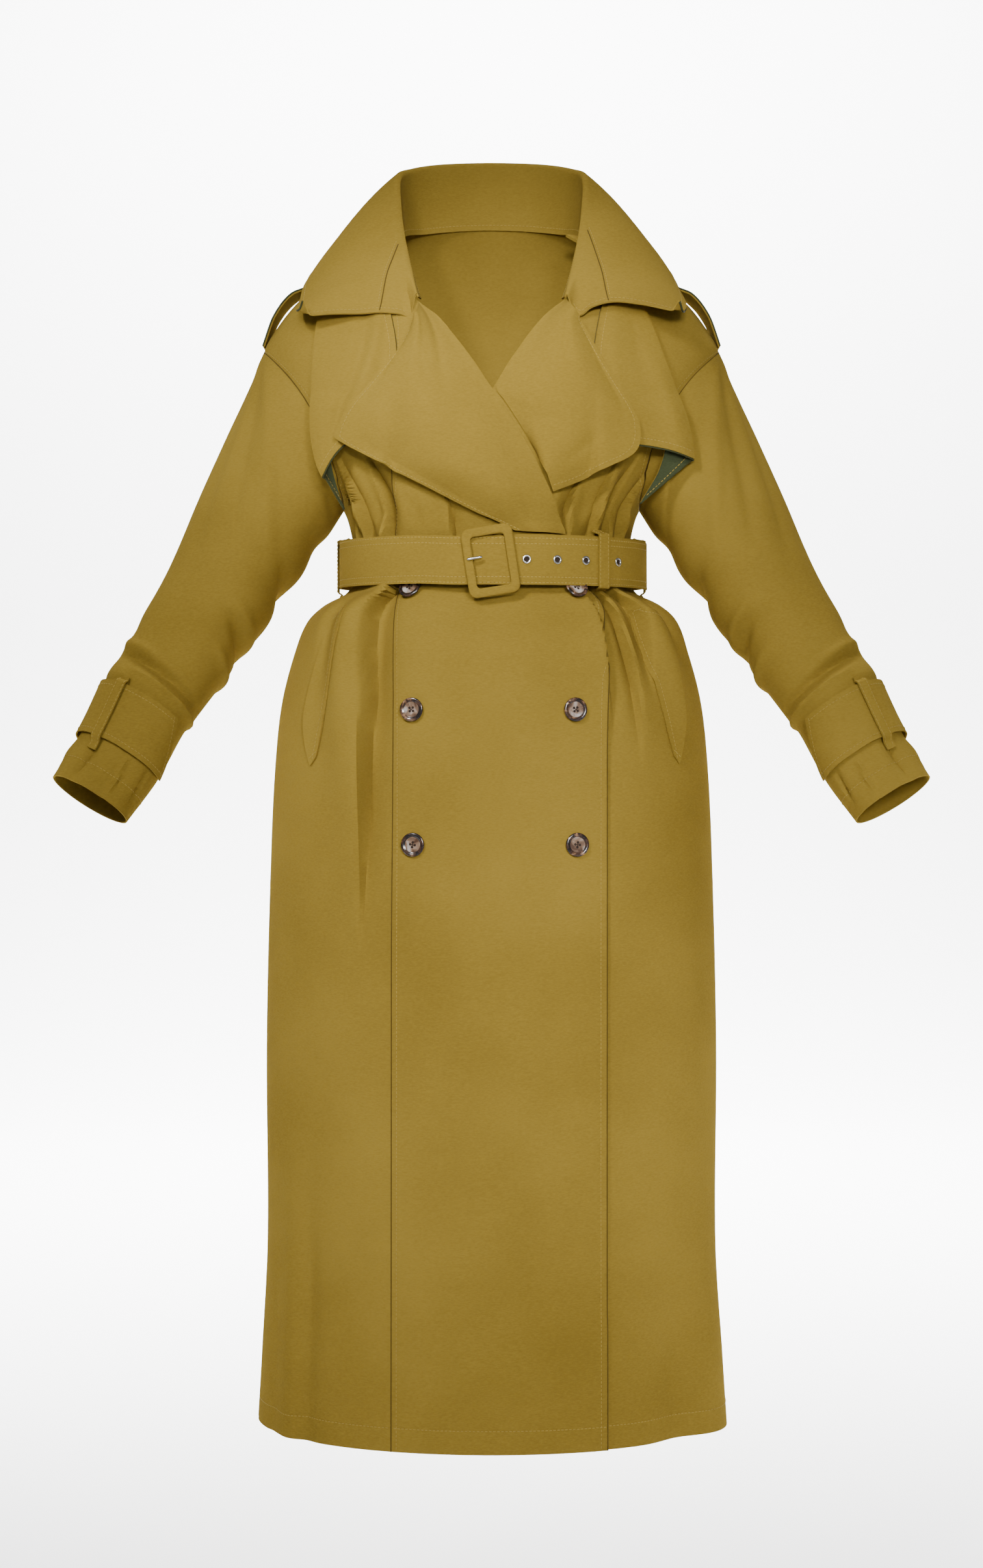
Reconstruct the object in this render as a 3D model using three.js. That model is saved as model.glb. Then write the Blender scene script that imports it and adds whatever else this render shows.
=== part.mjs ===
// A long double-breasted trench coat in cotton twill, belted, standing open and hollow as if worn.
// Millimetres, +Z up, the front faces -Y, and the origin is on the shoulder line at the middle of the neck.
import * as THREE from "three";

// Driving sizes.
const CLOTH = 1.6; // wall of the twill
const LINING = 1.0; // wall of the storm flap linings
const SEAM = 0.3; // between pieces that are sewn edge to edge
const UNDERARM_Z = -296;
const SHOULDER_TIP_Z = -127;
const ARMHOLE_DEPTH = 34; // degrees that the armhole cuts into the front and the back
const OVERLAP_X = 117; // the front edge, past the middle
const OVERLAP_LIFT = 3.6; // the upper front lies this far out over the lower one
const FRONT_SEAM_X = 101; // the long seam beside the left row of buttons
const BELT_Z = -357;
const BELT_WIDTH = 50;
const BELT_WALL = 3;
const BELT_LIFT = 17; // the belt clears the upper front and the buttons half under it
const BUTTON_RADIUS = 12.3;
const BUTTON_WALL = 3.6;
const BUTTON_SHANK = 0.3; // the button stands this far off the cloth on its thread
const BUCKLE = { width: 55, height: 72, bar: 9.5, wall: 4.5, tilt: 9, x: -1, drop: 3 };

const table = (columns, rows) =>
  rows.map((row) => Object.fromEntries(columns.map((name, i) => [name, row[i]])));

// The body's level sections: half width, and depth to the front and to the back.
const RINGS = table(["z", "half", "front", "back"], [
  [-1270, 249, 162, 144],
  [-1200, 245, 160, 142],
  [-1077, 239, 156, 138],
  [-867, 240, 152, 134],
  [-657, 235, 149, 131],
  [-560, 230, 149, 130],
  [-500, 223, 148, 128],
  [-447, 209, 145, 125],
  [-416, 196, 131, 118],
  [-399, 178, 123, 111],
  [-386, 154, 116, 101],
  [-357, 143, 112, 96],
  [-325, 148, 118, 101],
  [-296, 157, 127, 106],
  [-255, 186, 131, 111],
  [-203, 220, 132, 113],
  [-155, 239, 126, 112],
  [-127, 243, 117, 108],
  [-104, 231, 107, 102],
  [-80, 213, 94, 95],
  [-57, 189, 79, 87],
  [-38, 163, 65, 80],
  [-19, 128, 49, 72],
  [-4, 98, 38, 66],
]);
const NECK_Z = -4; // where the shoulder seam meets the neck
const BACK_NECK_RISE = 24;

// Folds of the body: angle from the middle front at the top and the bottom of the fold, its ends,
// its half width in degrees and its height, which is negative for a trough.
const FOLDS = table(["top", "bottom", "topZ", "bottomZ", "spread", "height"], [
  [-48, -41, -331, -215, 6, -11],
  [-60, -50, -331, -226, 5, 8],
  [-72, -70, -329, -297, 5, -7],
  [-18, -20, -331, -270, 6, -3.5],
  [31, 34, -331, -235, 6, -4],
  [45, 43, -331, -215, 6, 7],
  [56, 50, -331, -236, 5, -8],
  [68, 66, -329, -297, 5, 6],
  [-46, -37, -384, -640, 6, 13],
  [-37, -28, -384, -620, 5, -7],
  [-58, -47, -384, -520, 5, -5],
  [44, 50, -384, -520, 6, -7],
  [54, 62, -384, -560, 6, 9],
  [66, 76, -384, -500, 5, -6],
  [-56, -62, -1285, -860, 5, 5],
  [-50, -52, -1285, -900, 4, -5],
  [70, 66, -1300, -980, 12, 9],
  [52, 52, -1300, -1010, 9, -9],
  [110, 106, -329, -297, 6, 6],
  [126, 132, -331, -200, 6, -8],
  [140, 146, -331, -230, 6, 7],
  [220, 214, -331, -230, 6, 7],
  [234, 228, -331, -200, 6, -8],
  [250, 254, -329, -297, 6, 6],
  [116, 108, -384, -560, 6, -8],
  [130, 122, -384, -620, 6, 9],
  [158, 154, -384, -520, 6, -5],
  [202, 206, -384, -520, 6, -5],
  [230, 238, -384, -620, 6, 9],
  [244, 252, -384, -560, 6, -8],
  [118, 116, -1300, -900, 9, 7],
  [244, 242, -1300, -940, 9, 7],
]);

const FOLD_START = 26; // a fold reaches its full height this far from its end

// The levels of the panels' rows, closer together at the waist and round the armhole.
const LEVELS = [
  -1270, -1200, -1100, -980, -860, -740, -640, -560, -500, -450, -420, -400, -386, -357, -334, -318,
  -305, -296, -288, -268, -240, -205, -172, -150, -136, -127, -108, -84, -60, -38, -20, -4,
];

const radians = THREE.MathUtils.degToRad;
const degrees = THREE.MathUtils.radToDeg;
const mix = THREE.MathUtils.lerp;
const clamp = THREE.MathUtils.clamp;
const ease = THREE.MathUtils.smoothstep;
const vector = (x, y, z) => new THREE.Vector3(x, y, z);

// The value of one column at a place along another, on a smooth curve through the rows.
function along(rows, key, column, place) {
  const sign = rows[0][key] < rows[rows.length - 1][key] ? 1 : -1;
  const last = rows.length - 1;
  const at = clamp(sign * place, sign * rows[0][key], sign * rows[last][key]);
  let i = 0;
  while (i < last - 1 && sign * rows[i + 1][key] < at) i += 1;
  const slope = (j) => {
    const low = Math.max(j - 1, 0);
    const high = Math.min(j + 1, last);
    return (rows[high][column] - rows[low][column]) / (sign * (rows[high][key] - rows[low][key]));
  };
  const span = sign * (rows[i + 1][key] - rows[i][key]);
  const t = (at - sign * rows[i][key]) / span;
  const rise = rows[i + 1][column] - rows[i][column];
  const start = slope(i) * span - rise;
  const end = rise - slope(i + 1) * span;
  return rows[i][column] + rise * t + t * (1 - t) * (start * (1 - t) + end * t);
}

const half = (z) => along(RINGS, "z", "half", z);

function foldHeight(angle, z) {
  let height = 0;
  for (const fold of FOLDS) {
    const run = (z - fold.topZ) / (fold.bottomZ - fold.topZ);
    if (run < 0 || run > 1) continue;
    const middle = mix(fold.top, fold.bottom, clamp(run, 0, 1));
    const across = ((((angle - middle) % 360) + 540) % 360 - 180) / fold.spread;
    const fade = ease(Math.abs(z - fold.topZ), 0, FOLD_START) * (1 - ease(run, 0.3, 1));
    height += fold.height * fade * Math.exp(-across * across);
  }
  return height;
}

// A point of the body, by its angle from the middle front (plus to the wearer's left) and its level.
function body(angle, z, lift = 0) {
  const turn = radians(angle);
  const forward = Math.cos(turn);
  const depth = along(RINGS, "z", forward > 0 ? "front" : "back", z);
  const out = foldHeight(angle, z) + lift;
  const rise = BACK_NECK_RISE * Math.max(0, -forward) * ease(z, -150, NECK_Z) ** 1.5;
  const sideways = Math.sin(turn) * half(z);
  const outward = vector(Math.sin(turn) / half(z), -forward / depth, 0).normalize();
  return vector(sideways, -forward * depth, z + rise).addScaledVector(outward, out);
}

const angleAt = (x, z) => degrees(Math.asin(clamp(x / half(z), -1, 1)));

// The front's surface under a point of the front view, further out by lift.
const onFront = (x, z, lift) => body(angleAt(x, z), z, lift);

// The outer angle of a front at a level: the side seam, the armhole or the shoulder seam.
function sideAngle(z) {
  const middle = (UNDERARM_Z + SHOULDER_TIP_Z) / 2;
  const reach = (SHOULDER_TIP_Z - UNDERARM_Z) / 2;
  const out = (z - middle) / reach;
  if (Math.abs(out) >= 1) return 90;
  return 90 - ARMHOLE_DEPTH * Math.sqrt(1 - out * out);
}

// Closed walls from a grid of points. The wall lies between two distances along the grid's normals.
function gridNormals(grid, closed) {
  const rows = grid.length;
  return grid.map((row, i) => row.map((point, j) => {
    const last = row.length - 1;
    const before = closed ? row[(j + last) % row.length] : row[Math.max(j - 1, 0)];
    const after = closed ? row[(j + 1) % row.length] : row[Math.min(j + 1, last)];
    const below = grid[Math.max(i - 1, 0)][j];
    const above = grid[Math.min(i + 1, rows - 1)][j];
    const normal = after.clone().sub(before).cross(above.clone().sub(below));
    return normal.length() > 1e-9 ? normal.normalize() : vector(0, -1, 0);
  }));
}

function wall(grid, inner, outer, closed = false) {
  const rows = grid.length;
  const columns = grid[0].length;
  const normals = gridNormals(grid, closed);
  const positions = [];
  for (const distance of [outer, inner]) {
    grid.forEach((row, i) => row.forEach((point, j) => {
      const far = typeof distance === "function" ? distance(i, j) : distance;
      const moved = point.clone().addScaledVector(normals[i][j], far);
      positions.push(moved.x, moved.y, moved.z);
    }));
  }
  const index = [];
  const side = rows * columns;
  const at = (layer, i, j) => layer * side + i * columns + (j % columns);
  const quad = (a, b, c, d) => index.push(a, b, c, a, c, d);
  const spans = closed ? columns : columns - 1;
  for (let j = 0; j < spans; j += 1) {
    for (let i = 0; i < rows - 1; i += 1) {
      quad(at(0, i, j), at(0, i, j + 1), at(0, i + 1, j + 1), at(0, i + 1, j));
      quad(at(1, i, j), at(1, i + 1, j), at(1, i + 1, j + 1), at(1, i, j + 1));
    }
    quad(at(0, 0, j + 1), at(0, 0, j), at(1, 0, j), at(1, 0, j + 1));
    quad(at(0, rows - 1, j), at(0, rows - 1, j + 1), at(1, rows - 1, j + 1), at(1, rows - 1, j));
  }
  for (let i = 0; i < rows - 1 && !closed; i += 1) {
    quad(at(0, i, 0), at(0, i + 1, 0), at(1, i + 1, 0), at(1, i, 0));
    const j = columns - 1;
    quad(at(0, i + 1, j), at(0, i, j), at(1, i, j), at(1, i + 1, j));
  }
  const geometry = new THREE.BufferGeometry();
  geometry.setAttribute("position", new THREE.Float32BufferAttribute(positions, 3));
  geometry.setIndex(index);
  return geometry;
}

const steps = (count) => Array.from({ length: count + 1 }, (_, i) => i / count);

const coat = new THREE.Group();
const OLIVE = 0x8a762c;
const cloth = () => new THREE.MeshStandardMaterial({ color: OLIVE, roughness: 0.85 });
const greenLining = () => new THREE.MeshStandardMaterial({ color: 0x6f7d50, roughness: 0.7 });
const steel = () => new THREE.MeshStandardMaterial({ color: 0xb8b8b4, roughness: 0.3, metalness: 1 });
const horn = () => new THREE.MeshStandardMaterial({ color: 0x33211a, roughness: 0.3 });

function add(name, geometry, material = cloth()) {
  const mesh = new THREE.Mesh(geometry, material);
  mesh.name = name;
  coat.add(mesh);
}

// A body panel between two angles that change with the level.
function panel(name, levels, columns, startAngle, endAngle, lift = () => 0) {
  const grid = levels.map((z) => {
    const start = startAngle(z);
    const end = Math.max(endAngle(z), start + 1);
    return steps(columns).map((t) => {
      const angle = mix(start, end, t);
      return body(angle, z, lift(angle, z));
    });
  });
  add(name, wall(grid, 0, CLOTH));
}

// The fold line of a lapel, where the front turns out, and the neck edge above it.
const ROLL_LINES = {
  right: table(["z", "x"], [
    [-350, 80], [-333, 76], [-300, 65], [-262, 48], [-224, 26], [-184, 0], [-157, -17], [-124, -41],
    [-105, -56], [-88, -76], [-60, -84], [-30, -90], [-4, -97],
  ]),
  left: table(["z", "x"], [
    [-350, -80], [-300, -65], [-262, -48], [-224, -26], [-181, 3], [-156, 19], [-129, 36], [-105, 56],
    [-88, 76], [-60, 84], [-30, 90], [-4, 97],
  ]),
};
const rollAngle = (side, z) => angleAt(along(ROLL_LINES[side], "z", "x", z), z);
const ROLL_FOOT_Z = -350;

// Half the width of a seam that runs up the body, as an angle at a level.
function seamGap(z) {
  const depth = Math.min(along(RINGS, "z", "front", z), along(RINGS, "z", "back", z));
  return degrees((SEAM * 1.2) / depth);
}

function rightEdge(z) {
  if (z > ROLL_FOOT_Z) return rollAngle("right", z);
  const out = mix(80, OVERLAP_X, ease(-z, -ROLL_FOOT_Z, -ROLL_FOOT_Z + 60));
  return angleAt(out, z);
}

function leftEdge(z) {
  if (z > ROLL_FOOT_Z) return rollAngle("left", z);
  return angleAt(-80, z);
}

function seamAngle(z) {
  const out = FRONT_SEAM_X + 30 * ease(z, -120, -20);
  return Math.max(-angleAt(out, z), -sideAngle(z) + 1.5);
}

const SIDE_TOP_Z = -24; // above it the long seam has met the shoulder seam

function makeFronts() {
  const rightLift = (angle) => OVERLAP_LIFT * ease(angle, -76, -50);
  const sideSeam = (z) => sideAngle(z) - seamGap(z);
  const sideLevels = LEVELS.filter((z) => z <= SIDE_TOP_Z);
  panel("front_right_side", sideLevels, 6, (z) => -sideSeam(z),
    (z) => seamAngle(z) - seamGap(z), rightLift);
  panel("front_right_overlap", LEVELS, 10, (z) => seamAngle(z) + seamGap(z), rightEdge, rightLift);
  panel("front_left", LEVELS, 13, leftEdge, sideSeam);
}

function makeBack() {
  const start = (z) => 180 - sideAngle(z) + seamGap(z);
  panel("back", LEVELS, 16, start, (z) => 360 - start(z));
}

// The sleeve's cross sections down the arm: the middle, and the widths across and through.
const SLEEVE = table(["down", "x", "y", "z", "wide", "deep", "lean"], [
  [0, 228, -3, -262, 158, 138, 0],
  [0.22, 251, -8, -312, 141, 130, 4],
  [0.42, 294, -22, -394, 121, 115, 11],
  [0.62, 334, -44, -458, 109, 101, 17],
  [0.76, 360, -62, -500, 103, 94, 19],
  [0.8, 366, -66, -512, 98, 88, 19],
  [0.92, 390, -82, -563, 94, 80, 20],
  [1, 417, -101, -606, 90, 66, 20],
]);
const SLEEVE_SLOPE = 31; // degrees off the vertical
const SLEEVE_FOLDS = table(["down", "around", "length", "spread", "height"], [
  [0.7, 60, 0.035, 60, -6],
  [0.5, 150, 0.05, 50, -6],
  [0.34, 170, 0.04, 55, -6],
  [0.2, 190, 0.05, 45, -5],
  [0.62, 320, 0.04, 60, -5],
  [0.96, 100, 0.05, 16, -3],
  [0.96, 60, 0.05, 12, -3],
]);

const ARMHOLE_GAP = 0.35; // degrees between a sleeve's head and the body's edge

// A point of the wearer's right sleeve; around is 0 on the outer side, 90 in front and 180 underneath.
function sleevePoint(down, around, lift = 0) {
  const at = (column) => along(SLEEVE, "down", column, down);
  const lean = radians(at("lean"));
  const slope = radians(SLEEVE_SLOPE);
  const run = vector(-Math.sin(slope) * Math.cos(lean), -Math.sin(lean), -Math.cos(slope) * Math.cos(lean));
  const across = vector(Math.cos(slope), 0, -Math.sin(slope));
  const through = across.clone().cross(run).normalize();
  if (through.y > 0) through.negate();
  const turn = radians(around);
  let out = lift;
  for (const fold of SLEEVE_FOLDS) {
    const up = (down - fold.down) / fold.length;
    const side = ((((around - fold.around) % 360) + 540) % 360 - 180) / fold.spread;
    out += fold.height * Math.exp(-up * up - side * side);
  }
  return vector(-at("x"), at("y"), at("z"))
    .addScaledVector(across, -Math.cos(turn) * (at("wide") / 2 + out))
    .addScaledVector(through, Math.sin(turn) * (at("deep") / 2 + out));
}

const mirrored = (grid) =>
  grid.map((row) => row.map((point) => vector(-point.x, point.y, point.z)).reverse());

function makeSleeves() {
  const armLevels = LEVELS.filter((z) => z >= UNDERARM_Z && z <= SHOULDER_TIP_Z);
  const front = armLevels.slice().reverse();
  const back = armLevels.slice(1, -1);
  const ring = [...front.map((z) => ({ z, angle: -sideAngle(z) })),
    ...back.map((z) => ({ z, angle: sideAngle(z) - 180 }))];
  const middle = (UNDERARM_Z + SHOULDER_TIP_Z) / 2;
  const reach = (SHOULDER_TIP_Z - UNDERARM_Z) / 2;
  const armhole = ring.map(({ z, angle }, i) => {
    const turn = Math.acos(clamp((z - middle) / reach, -1, 1));
    const around = degrees(i < front.length ? turn : 2 * Math.PI - turn);
    const toHole = Math.abs(angle + 90) < 0.1 ? 0 : Math.sign(-90 - angle) * ARMHOLE_GAP;
    const upward = z <= UNDERARM_Z ? 0.6 : z >= SHOULDER_TIP_Z ? -0.3 : 0;
    const point = body(angle + toHole, z, CLOTH + 0.4);
    return { around, point: point.add(vector(-0.3, 0, upward)) };
  });
  const downs = [0.05, 0.12, 0.2, 0.29, 0.38, 0.47, 0.56, 0.64, 0.7, 0.75, 0.79, 0.86, 0.93, 1];
  const rows = [armhole.map(({ point }) => point)];
  for (const down of downs) {
    const blend = ease(down, -0.05, 0.3);
    rows.push(armhole.map(({ around, point }) => {
      const target = sleevePoint(down, around);
      const start = sleevePoint(0, around);
      const shifted = point.clone().add(target.clone().sub(start));
      return shifted.lerp(target, blend);
    }));
  }
  const right = rows.slice().reverse();
  add("sleeve_right", wall(right, -CLOTH, 0, true));
  add("sleeve_left", wall(mirrored(right), -CLOTH, 0, true));
}

// Where a table's points run, as a smooth curve of x, y, z.
function curveOf(rows) {
  return new THREE.CatmullRomCurve3(rows.map(({ x, y, z }) => vector(x, y, z)), false, "centripetal");
}

// The collar on one side of the middle back: the neck seam, the roll line and the leaf's edge.
const COLLAR = table(
  ["seamX", "seamY", "seamZ", "rollX", "rollY", "rollZ", "edgeX", "edgeY", "edgeZ", "bulge"], [
    [0, 64.6, 18, 0, 84, 100, 0, 126, 14, 12],
    [42, 57.5, 15, 54, 74, 96, 66, 121, 10, 12],
    [75, 38, 8, 86, 52, 86, 126, 96, -4, 13],
    [92, 10, 1, 99, 22, 72, 172, 50, -26, 13],
    [94, -10, -8, 98, -8, 36, 193, 8, -42, 13],
    [89, -36, -28, 94, -34, 0, 201, -32, -66, 12],
    [82, -62, -57, 86, -66, -42, 203, -68, -90, 10],
    [73.5, -88, -84, 76, -103, -84, 197, -109, -103, 5],
  ]);

function collarCurve(name, side) {
  const pick = (row) => ({ x: side * row[`${name}X`], y: row[`${name}Y`], z: row[`${name}Z`] });
  return COLLAR.map(pick);
}

function wholeCurve(name) {
  const right = collarCurve(name, -1).reverse();
  const left = collarCurve(name, 1).slice(1);
  return curveOf([...right, ...left]);
}

const COLLAR_COLUMNS = 24;
const STAND_SHARES = [0.02, 0.985]; // from just above the neck seam to just under the fold
const LEAF_OFFSET = 1.4; // from the stand to the leaf beside the fold
const ROLL_GAP = 0.012; // the share of the leaf's height that parts it from the stand

function collarGrid(fromShare, toShare, rows, build) {
  return steps(rows).map((v) => steps(COLLAR_COLUMNS).map((u) => build(u, mix(fromShare, toShare, v))));
}

// How far the leaf's front edge hangs below the straight line from its fold to its corner.
const LEAF_DROOP = {
  right: table(["v", "drop"], [[0, 0], [0.05, 20], [0.15, 18], [0.3, 15], [0.45, 14], [0.7, 9], [0.96, 3], [1, -3]]),
  left: table(["v", "drop"], [[0, 0], [0.1, 20], [0.2, 11], [0.37, 3], [0.6, 1], [0.9, 0], [1, -3]]),
};

function leafDroop(u, v) {
  const end = Math.abs(u - 0.5) * 2;
  const side = u < 0.5 ? "right" : "left";
  return along(LEAF_DROOP[side], "v", "drop", v) * ease(end, 0.88, 1);
}

function makeCollar() {
  const seam = wholeCurve("seam");
  const roll = wholeCurve("roll");
  const edge = wholeCurve("edge");
  const bulges = COLLAR.map((row) => row.bulge);
  const bulgeAt = (u) => {
    const place = Math.abs(u - 0.5) * 2 * (bulges.length - 1);
    const i = Math.min(Math.floor(place), bulges.length - 2);
    return mix(bulges[i], bulges[i + 1], place - i);
  };
  const stand = collarGrid(...STAND_SHARES, 3, (u, v) => seam.getPoint(u).lerp(roll.getPoint(u), v));
  add("collar_stand", wall(stand, -CLOTH / 2, CLOTH / 2));
  const leaf = collarGrid(1, ROLL_GAP, 5, (u, v) => {
    const from = roll.getPoint(u);
    const to = edge.getPoint(u);
    const middle = vector(0, 0, 0).lerpVectors(from, to, v);
    const away = vector(middle.x, middle.y, 0).normalize().add(vector(0, 0, 0.8)).normalize();
    middle.z -= leafDroop(u, v);
    return middle.addScaledVector(away, bulgeAt(u) * 4 * v * (1 - v) + LEAF_OFFSET);
  });
  add("collar_leaf", wall(leaf, 0, CLOTH));
}

// Lapels, in the front view: the fold line's points, and the outer edge opposite to them.
const LAPELS = {
  right: table(["foldX", "foldZ", "edgeX", "edgeZ", "proud"], [
    [-76, -90, -80, -118, 5],
    [-60, -105, -93, -141, 7],
    [-34, -136, -124, -177, 9],
    [-8, -173, -150, -206, 10],
    [18, -212, -161, -228, 10],
    [38, -245, -157, -236, 9],
    [54, -275, -126, -254, 8],
    [64, -298, -60, -288, 7],
    [71, -318, -17, -310, 6],
    [75, -326, 2, -318, 5],
    [76, -331, 24, -329, 4.5],
  ]),
  left: table(["foldX", "foldZ", "edgeX", "edgeZ", "proud"], [
    [78, -86, 92, -112, 5],
    [58, -103, 99, -125, 7],
    [42, -122, 121, -165, 9],
    [28, -142, 148, -208, 9],
    [13, -165, 153, -224, 6],
    [5, -183, 152, -240, 4],
    [13, -196, 143, -252, 3],
    [21, -208, 120, -264, 2],
    [33, -226, 92, -277, 2],
    [48, -250, 63, -289, 2],
  ]),
};

// What lies over the chest follows it, but hangs straight where the body falls back to the armhole.
const CHEST = { half: 246, depth: 128 };

function overChest(x, z, lift) {
  const inward = Math.sqrt(1 - (x / CHEST.half) ** 2);
  const hanging = -CHEST.depth * inward * ease(-z, 120, 200) * ease(Math.abs(x), 55, 115);
  return vector(x, Math.min(onFront(x, z, 0).y, hanging) - lift, z);
}

const LAPEL_COLUMNS = 7;
const LAPEL_RISE = 11; // how much further out the lapel's edge lies than its fold
const LAPEL_STAND = 3; // and how soon it leaves the front beside the fold
const LAPEL_SEAT = 1.3; // from the front's face to the lapel's fold
const LAPEL_TUCK = 0.75; // the share of its height that it loses where the belt holds it down

function makeLapel(side, base) {
  const grid = LAPELS[side].map((row) => steps(LAPEL_COLUMNS).map((v) => {
    const x = mix(row.foldX, row.edgeX, v);
    const z = mix(row.foldZ, row.edgeZ, v);
    const curl = row.proud * Math.sin(Math.PI * Math.min(v * 1.15, 1)) + LAPEL_RISE * ease(v, 0, 0.6);
    const tuck = 1 - LAPEL_TUCK * ease(-z, 262, 322);
    return overChest(x, z, base + LAPEL_SEAT + (LAPEL_STAND * ease(v, 0, 0.25) + curl) * tuck);
  }));
  if (side === "right") grid.forEach((row) => row.reverse());
  add(`lapel_${side}`, wall(grid.reverse(), 0, CLOTH));
}

// Storm flaps hang from the shoulder over the chest. Each row runs from the inner edge to a fold in
// front of the armhole, and from there back under, where the flap's end is tucked in beside the sleeve.
const FLAP_NAMES = [
  "innerX", "outerX", "innerZ", "outerZ", "innerLift", "outerLift", "tuckX", "tuckZ", "tuckLift",
];
const FLAPS = {
  right: table(FLAP_NAMES, [
    [-112, -177, -78, -84, 7.6, 15, -169, -84, 9.5],
    [-104, -182, -104, -114, 9, 17, -174, -115, 11.5],
    [-98, -185, -140, -150, 9, 17, -177, -152, 11.5],
    [-100, -187, -172, -184, 9, 16, -175, -192, 9],
    [-106, -188, -198, -212, 9, 16, -171, -228, 5],
    [-110, -186, -214, -236, 9, 16, -166, -262, -3],
    [-114, -181, -224, -258, 9, 15, -159, -290, -10],
    [-118, -175, -230, -271, 9, 14, -154, -303, -14],
  ]),
  left: table(FLAP_NAMES, [
    [118, 156, -78, -84, 4, 11, 148, -84, 5],
    [112, 167, -104, -114, 8, 13, 159, -115, 7.5],
    [106, 180, -140, -150, 9, 14, 172, -152, 8.5],
    [106, 194, -172, -184, 9, 15, 183, -195, 9],
    [108, 204, -200, -211, 9, 17, 183, -230, 6],
    [110, 208.5, -220, -232, 9, 19, 175, -262, 0],
    [112, 210, -232, -245, 9, 21, 163, -284, -6],
    [114, 210.5, -238, -251, 9, 22, 155, -297, -10],
  ]),
};
const FLAP_COLUMNS = 6;
const FLAP_FOLD = { inward: 3, back: 4, down: 1 }; // from the face's outer edge to the start of its return
const FLAP_RETURN = [0, 0.45, 1];

function flapRow(row) {
  const face = steps(FLAP_COLUMNS).map((t) => {
    const x = mix(row.innerX, row.outerX, t);
    const z = mix(row.innerZ, row.outerZ, t ** 3);
    const ripple = 2 * Math.sin(t * Math.PI * 3) * ease(-z, 110, 220) * t;
    return overChest(x, z, mix(row.innerLift, row.outerLift, t * t) + ripple);
  });
  const fold = face[FLAP_COLUMNS];
  const inward = -Math.sign(fold.x) * FLAP_FOLD.inward;
  const back = fold.clone().add(vector(inward, FLAP_FOLD.back, -FLAP_FOLD.down));
  const tuck = overChest(row.tuckX, row.tuckZ, row.tuckLift);
  return [...face, ...FLAP_RETURN.map((s) => back.clone().lerp(tuck, s))];
}

function makeFlap(side) {
  const grid = FLAPS[side].map(flapRow);
  if (side === "right") grid.forEach((row) => row.reverse());
  grid.reverse();
  add(`storm_flap_${side}`, wall(grid, 0, CLOTH));
  add(`storm_flap_lining_${side}`, wall(grid, -LINING - SEAM, -SEAM), greenLining());
}

// Epaulettes bow off the shoulder seam, from the collar to the armhole.
const EPAULETTE = table(["x", "bow"], [
  [208, 9], [214, 13], [221, 15], [229, 13], [236, 7], [241, 2.5],
]);
const EPAULETTE_HALF = 17;
const EPAULETTE_WALL = 3; // two layers of cloth
const EPAULETTE_SEAT = CLOTH + 1;
const SHOULDER_RINGS = RINGS.slice(-7);

function makeEpaulette(sign) {
  const grid = [-1, -0.5, 0, 0.5, 1].map((across) => EPAULETTE.map(({ x, bow }) => {
    const angle = 90 - across * 9;
    const point = body(angle, along(SHOULDER_RINGS, "half", "z", x));
    return vector(sign * x, -across * EPAULETTE_HALF, point.z + EPAULETTE_SEAT + bow);
  }));
  if (sign > 0) grid.reverse();
  add(`epaulette_${sign > 0 ? "left" : "right"}`, wall(grid, 0, EPAULETTE_WALL), greenLining());
}

// The belt runs round the waist; the buckle, its prong, eyelets and loops sit on its path.
const beltPoint = (angle, z, lift) => {
  const turn = radians(angle);
  const forward = Math.cos(turn);
  const depth = along(RINGS, "z", forward > 0 ? "front" : "back", BELT_Z) + 1;
  const wide = half(BELT_Z) + 1;
  const outward = vector(Math.sin(turn) / wide, -forward / depth, 0).normalize();
  return vector(Math.sin(turn) * wide, -forward * depth, z).addScaledVector(outward, BELT_LIFT + lift);
};
const beltDip = (angle) => 3.5 * Math.cos(radians(angle)) - 2; // it hangs lower in front

const BELT_END = { gap: 0.8, drop: 2, rises: [330, 348] }; // it rises onto the belt's start behind the buckle

function beltStrip(name, fromAngle, toAngle, columns, thickness) {
  const grid = [-1, 0, 1].map((up) => steps(columns).map((t) => {
    const angle = mix(fromAngle, toAngle, t);
    const over = ease(angle, ...BELT_END.rises);
    const z = BELT_Z - beltDip(angle) - BELT_END.drop * over + (up * BELT_WIDTH) / 2;
    return beltPoint(angle, z, (BELT_WALL + BELT_END.gap) * over);
  }));
  add(name, wall(grid, 0, thickness));
}

// A flat piece drawn in the front view and set on the belt or a panel, turned to face outward.
function place(geometry, point, outward) {
  const turn = new THREE.Quaternion().setFromUnitVectors(vector(0, 0, 1), vector(0, -1, 0));
  const aim = new THREE.Quaternion().setFromUnitVectors(vector(0, -1, 0), outward);
  geometry.applyQuaternion(turn).applyQuaternion(aim);
  return geometry.translate(point.x, point.y, point.z);
}

function outwardAt(angle) {
  const here = beltPoint(angle, 0, 0);
  return beltPoint(angle, 0, 10).sub(here).normalize();
}

// A rounded rectangle's points in order, three for each corner and one for the middle of each side.
function roundedOutline(width, height, radius) {
  const points = [];
  for (const [sx, sy, start] of [[1, 1, 0], [-1, 1, 90], [-1, -1, 180], [1, -1, 270]]) {
    for (const turn of [0, 45, 90]) {
      const x = sx * (width / 2 - radius) + radius * Math.cos(radians(start + turn));
      const y = sy * (height / 2 - radius) + radius * Math.sin(radians(start + turn));
      points.push([x, y]);
    }
    points.push(start % 180 === 0 ? [0, (sy * height) / 2] : [(sx * width) / 2, 0]);
  }
  return points;
}

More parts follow.
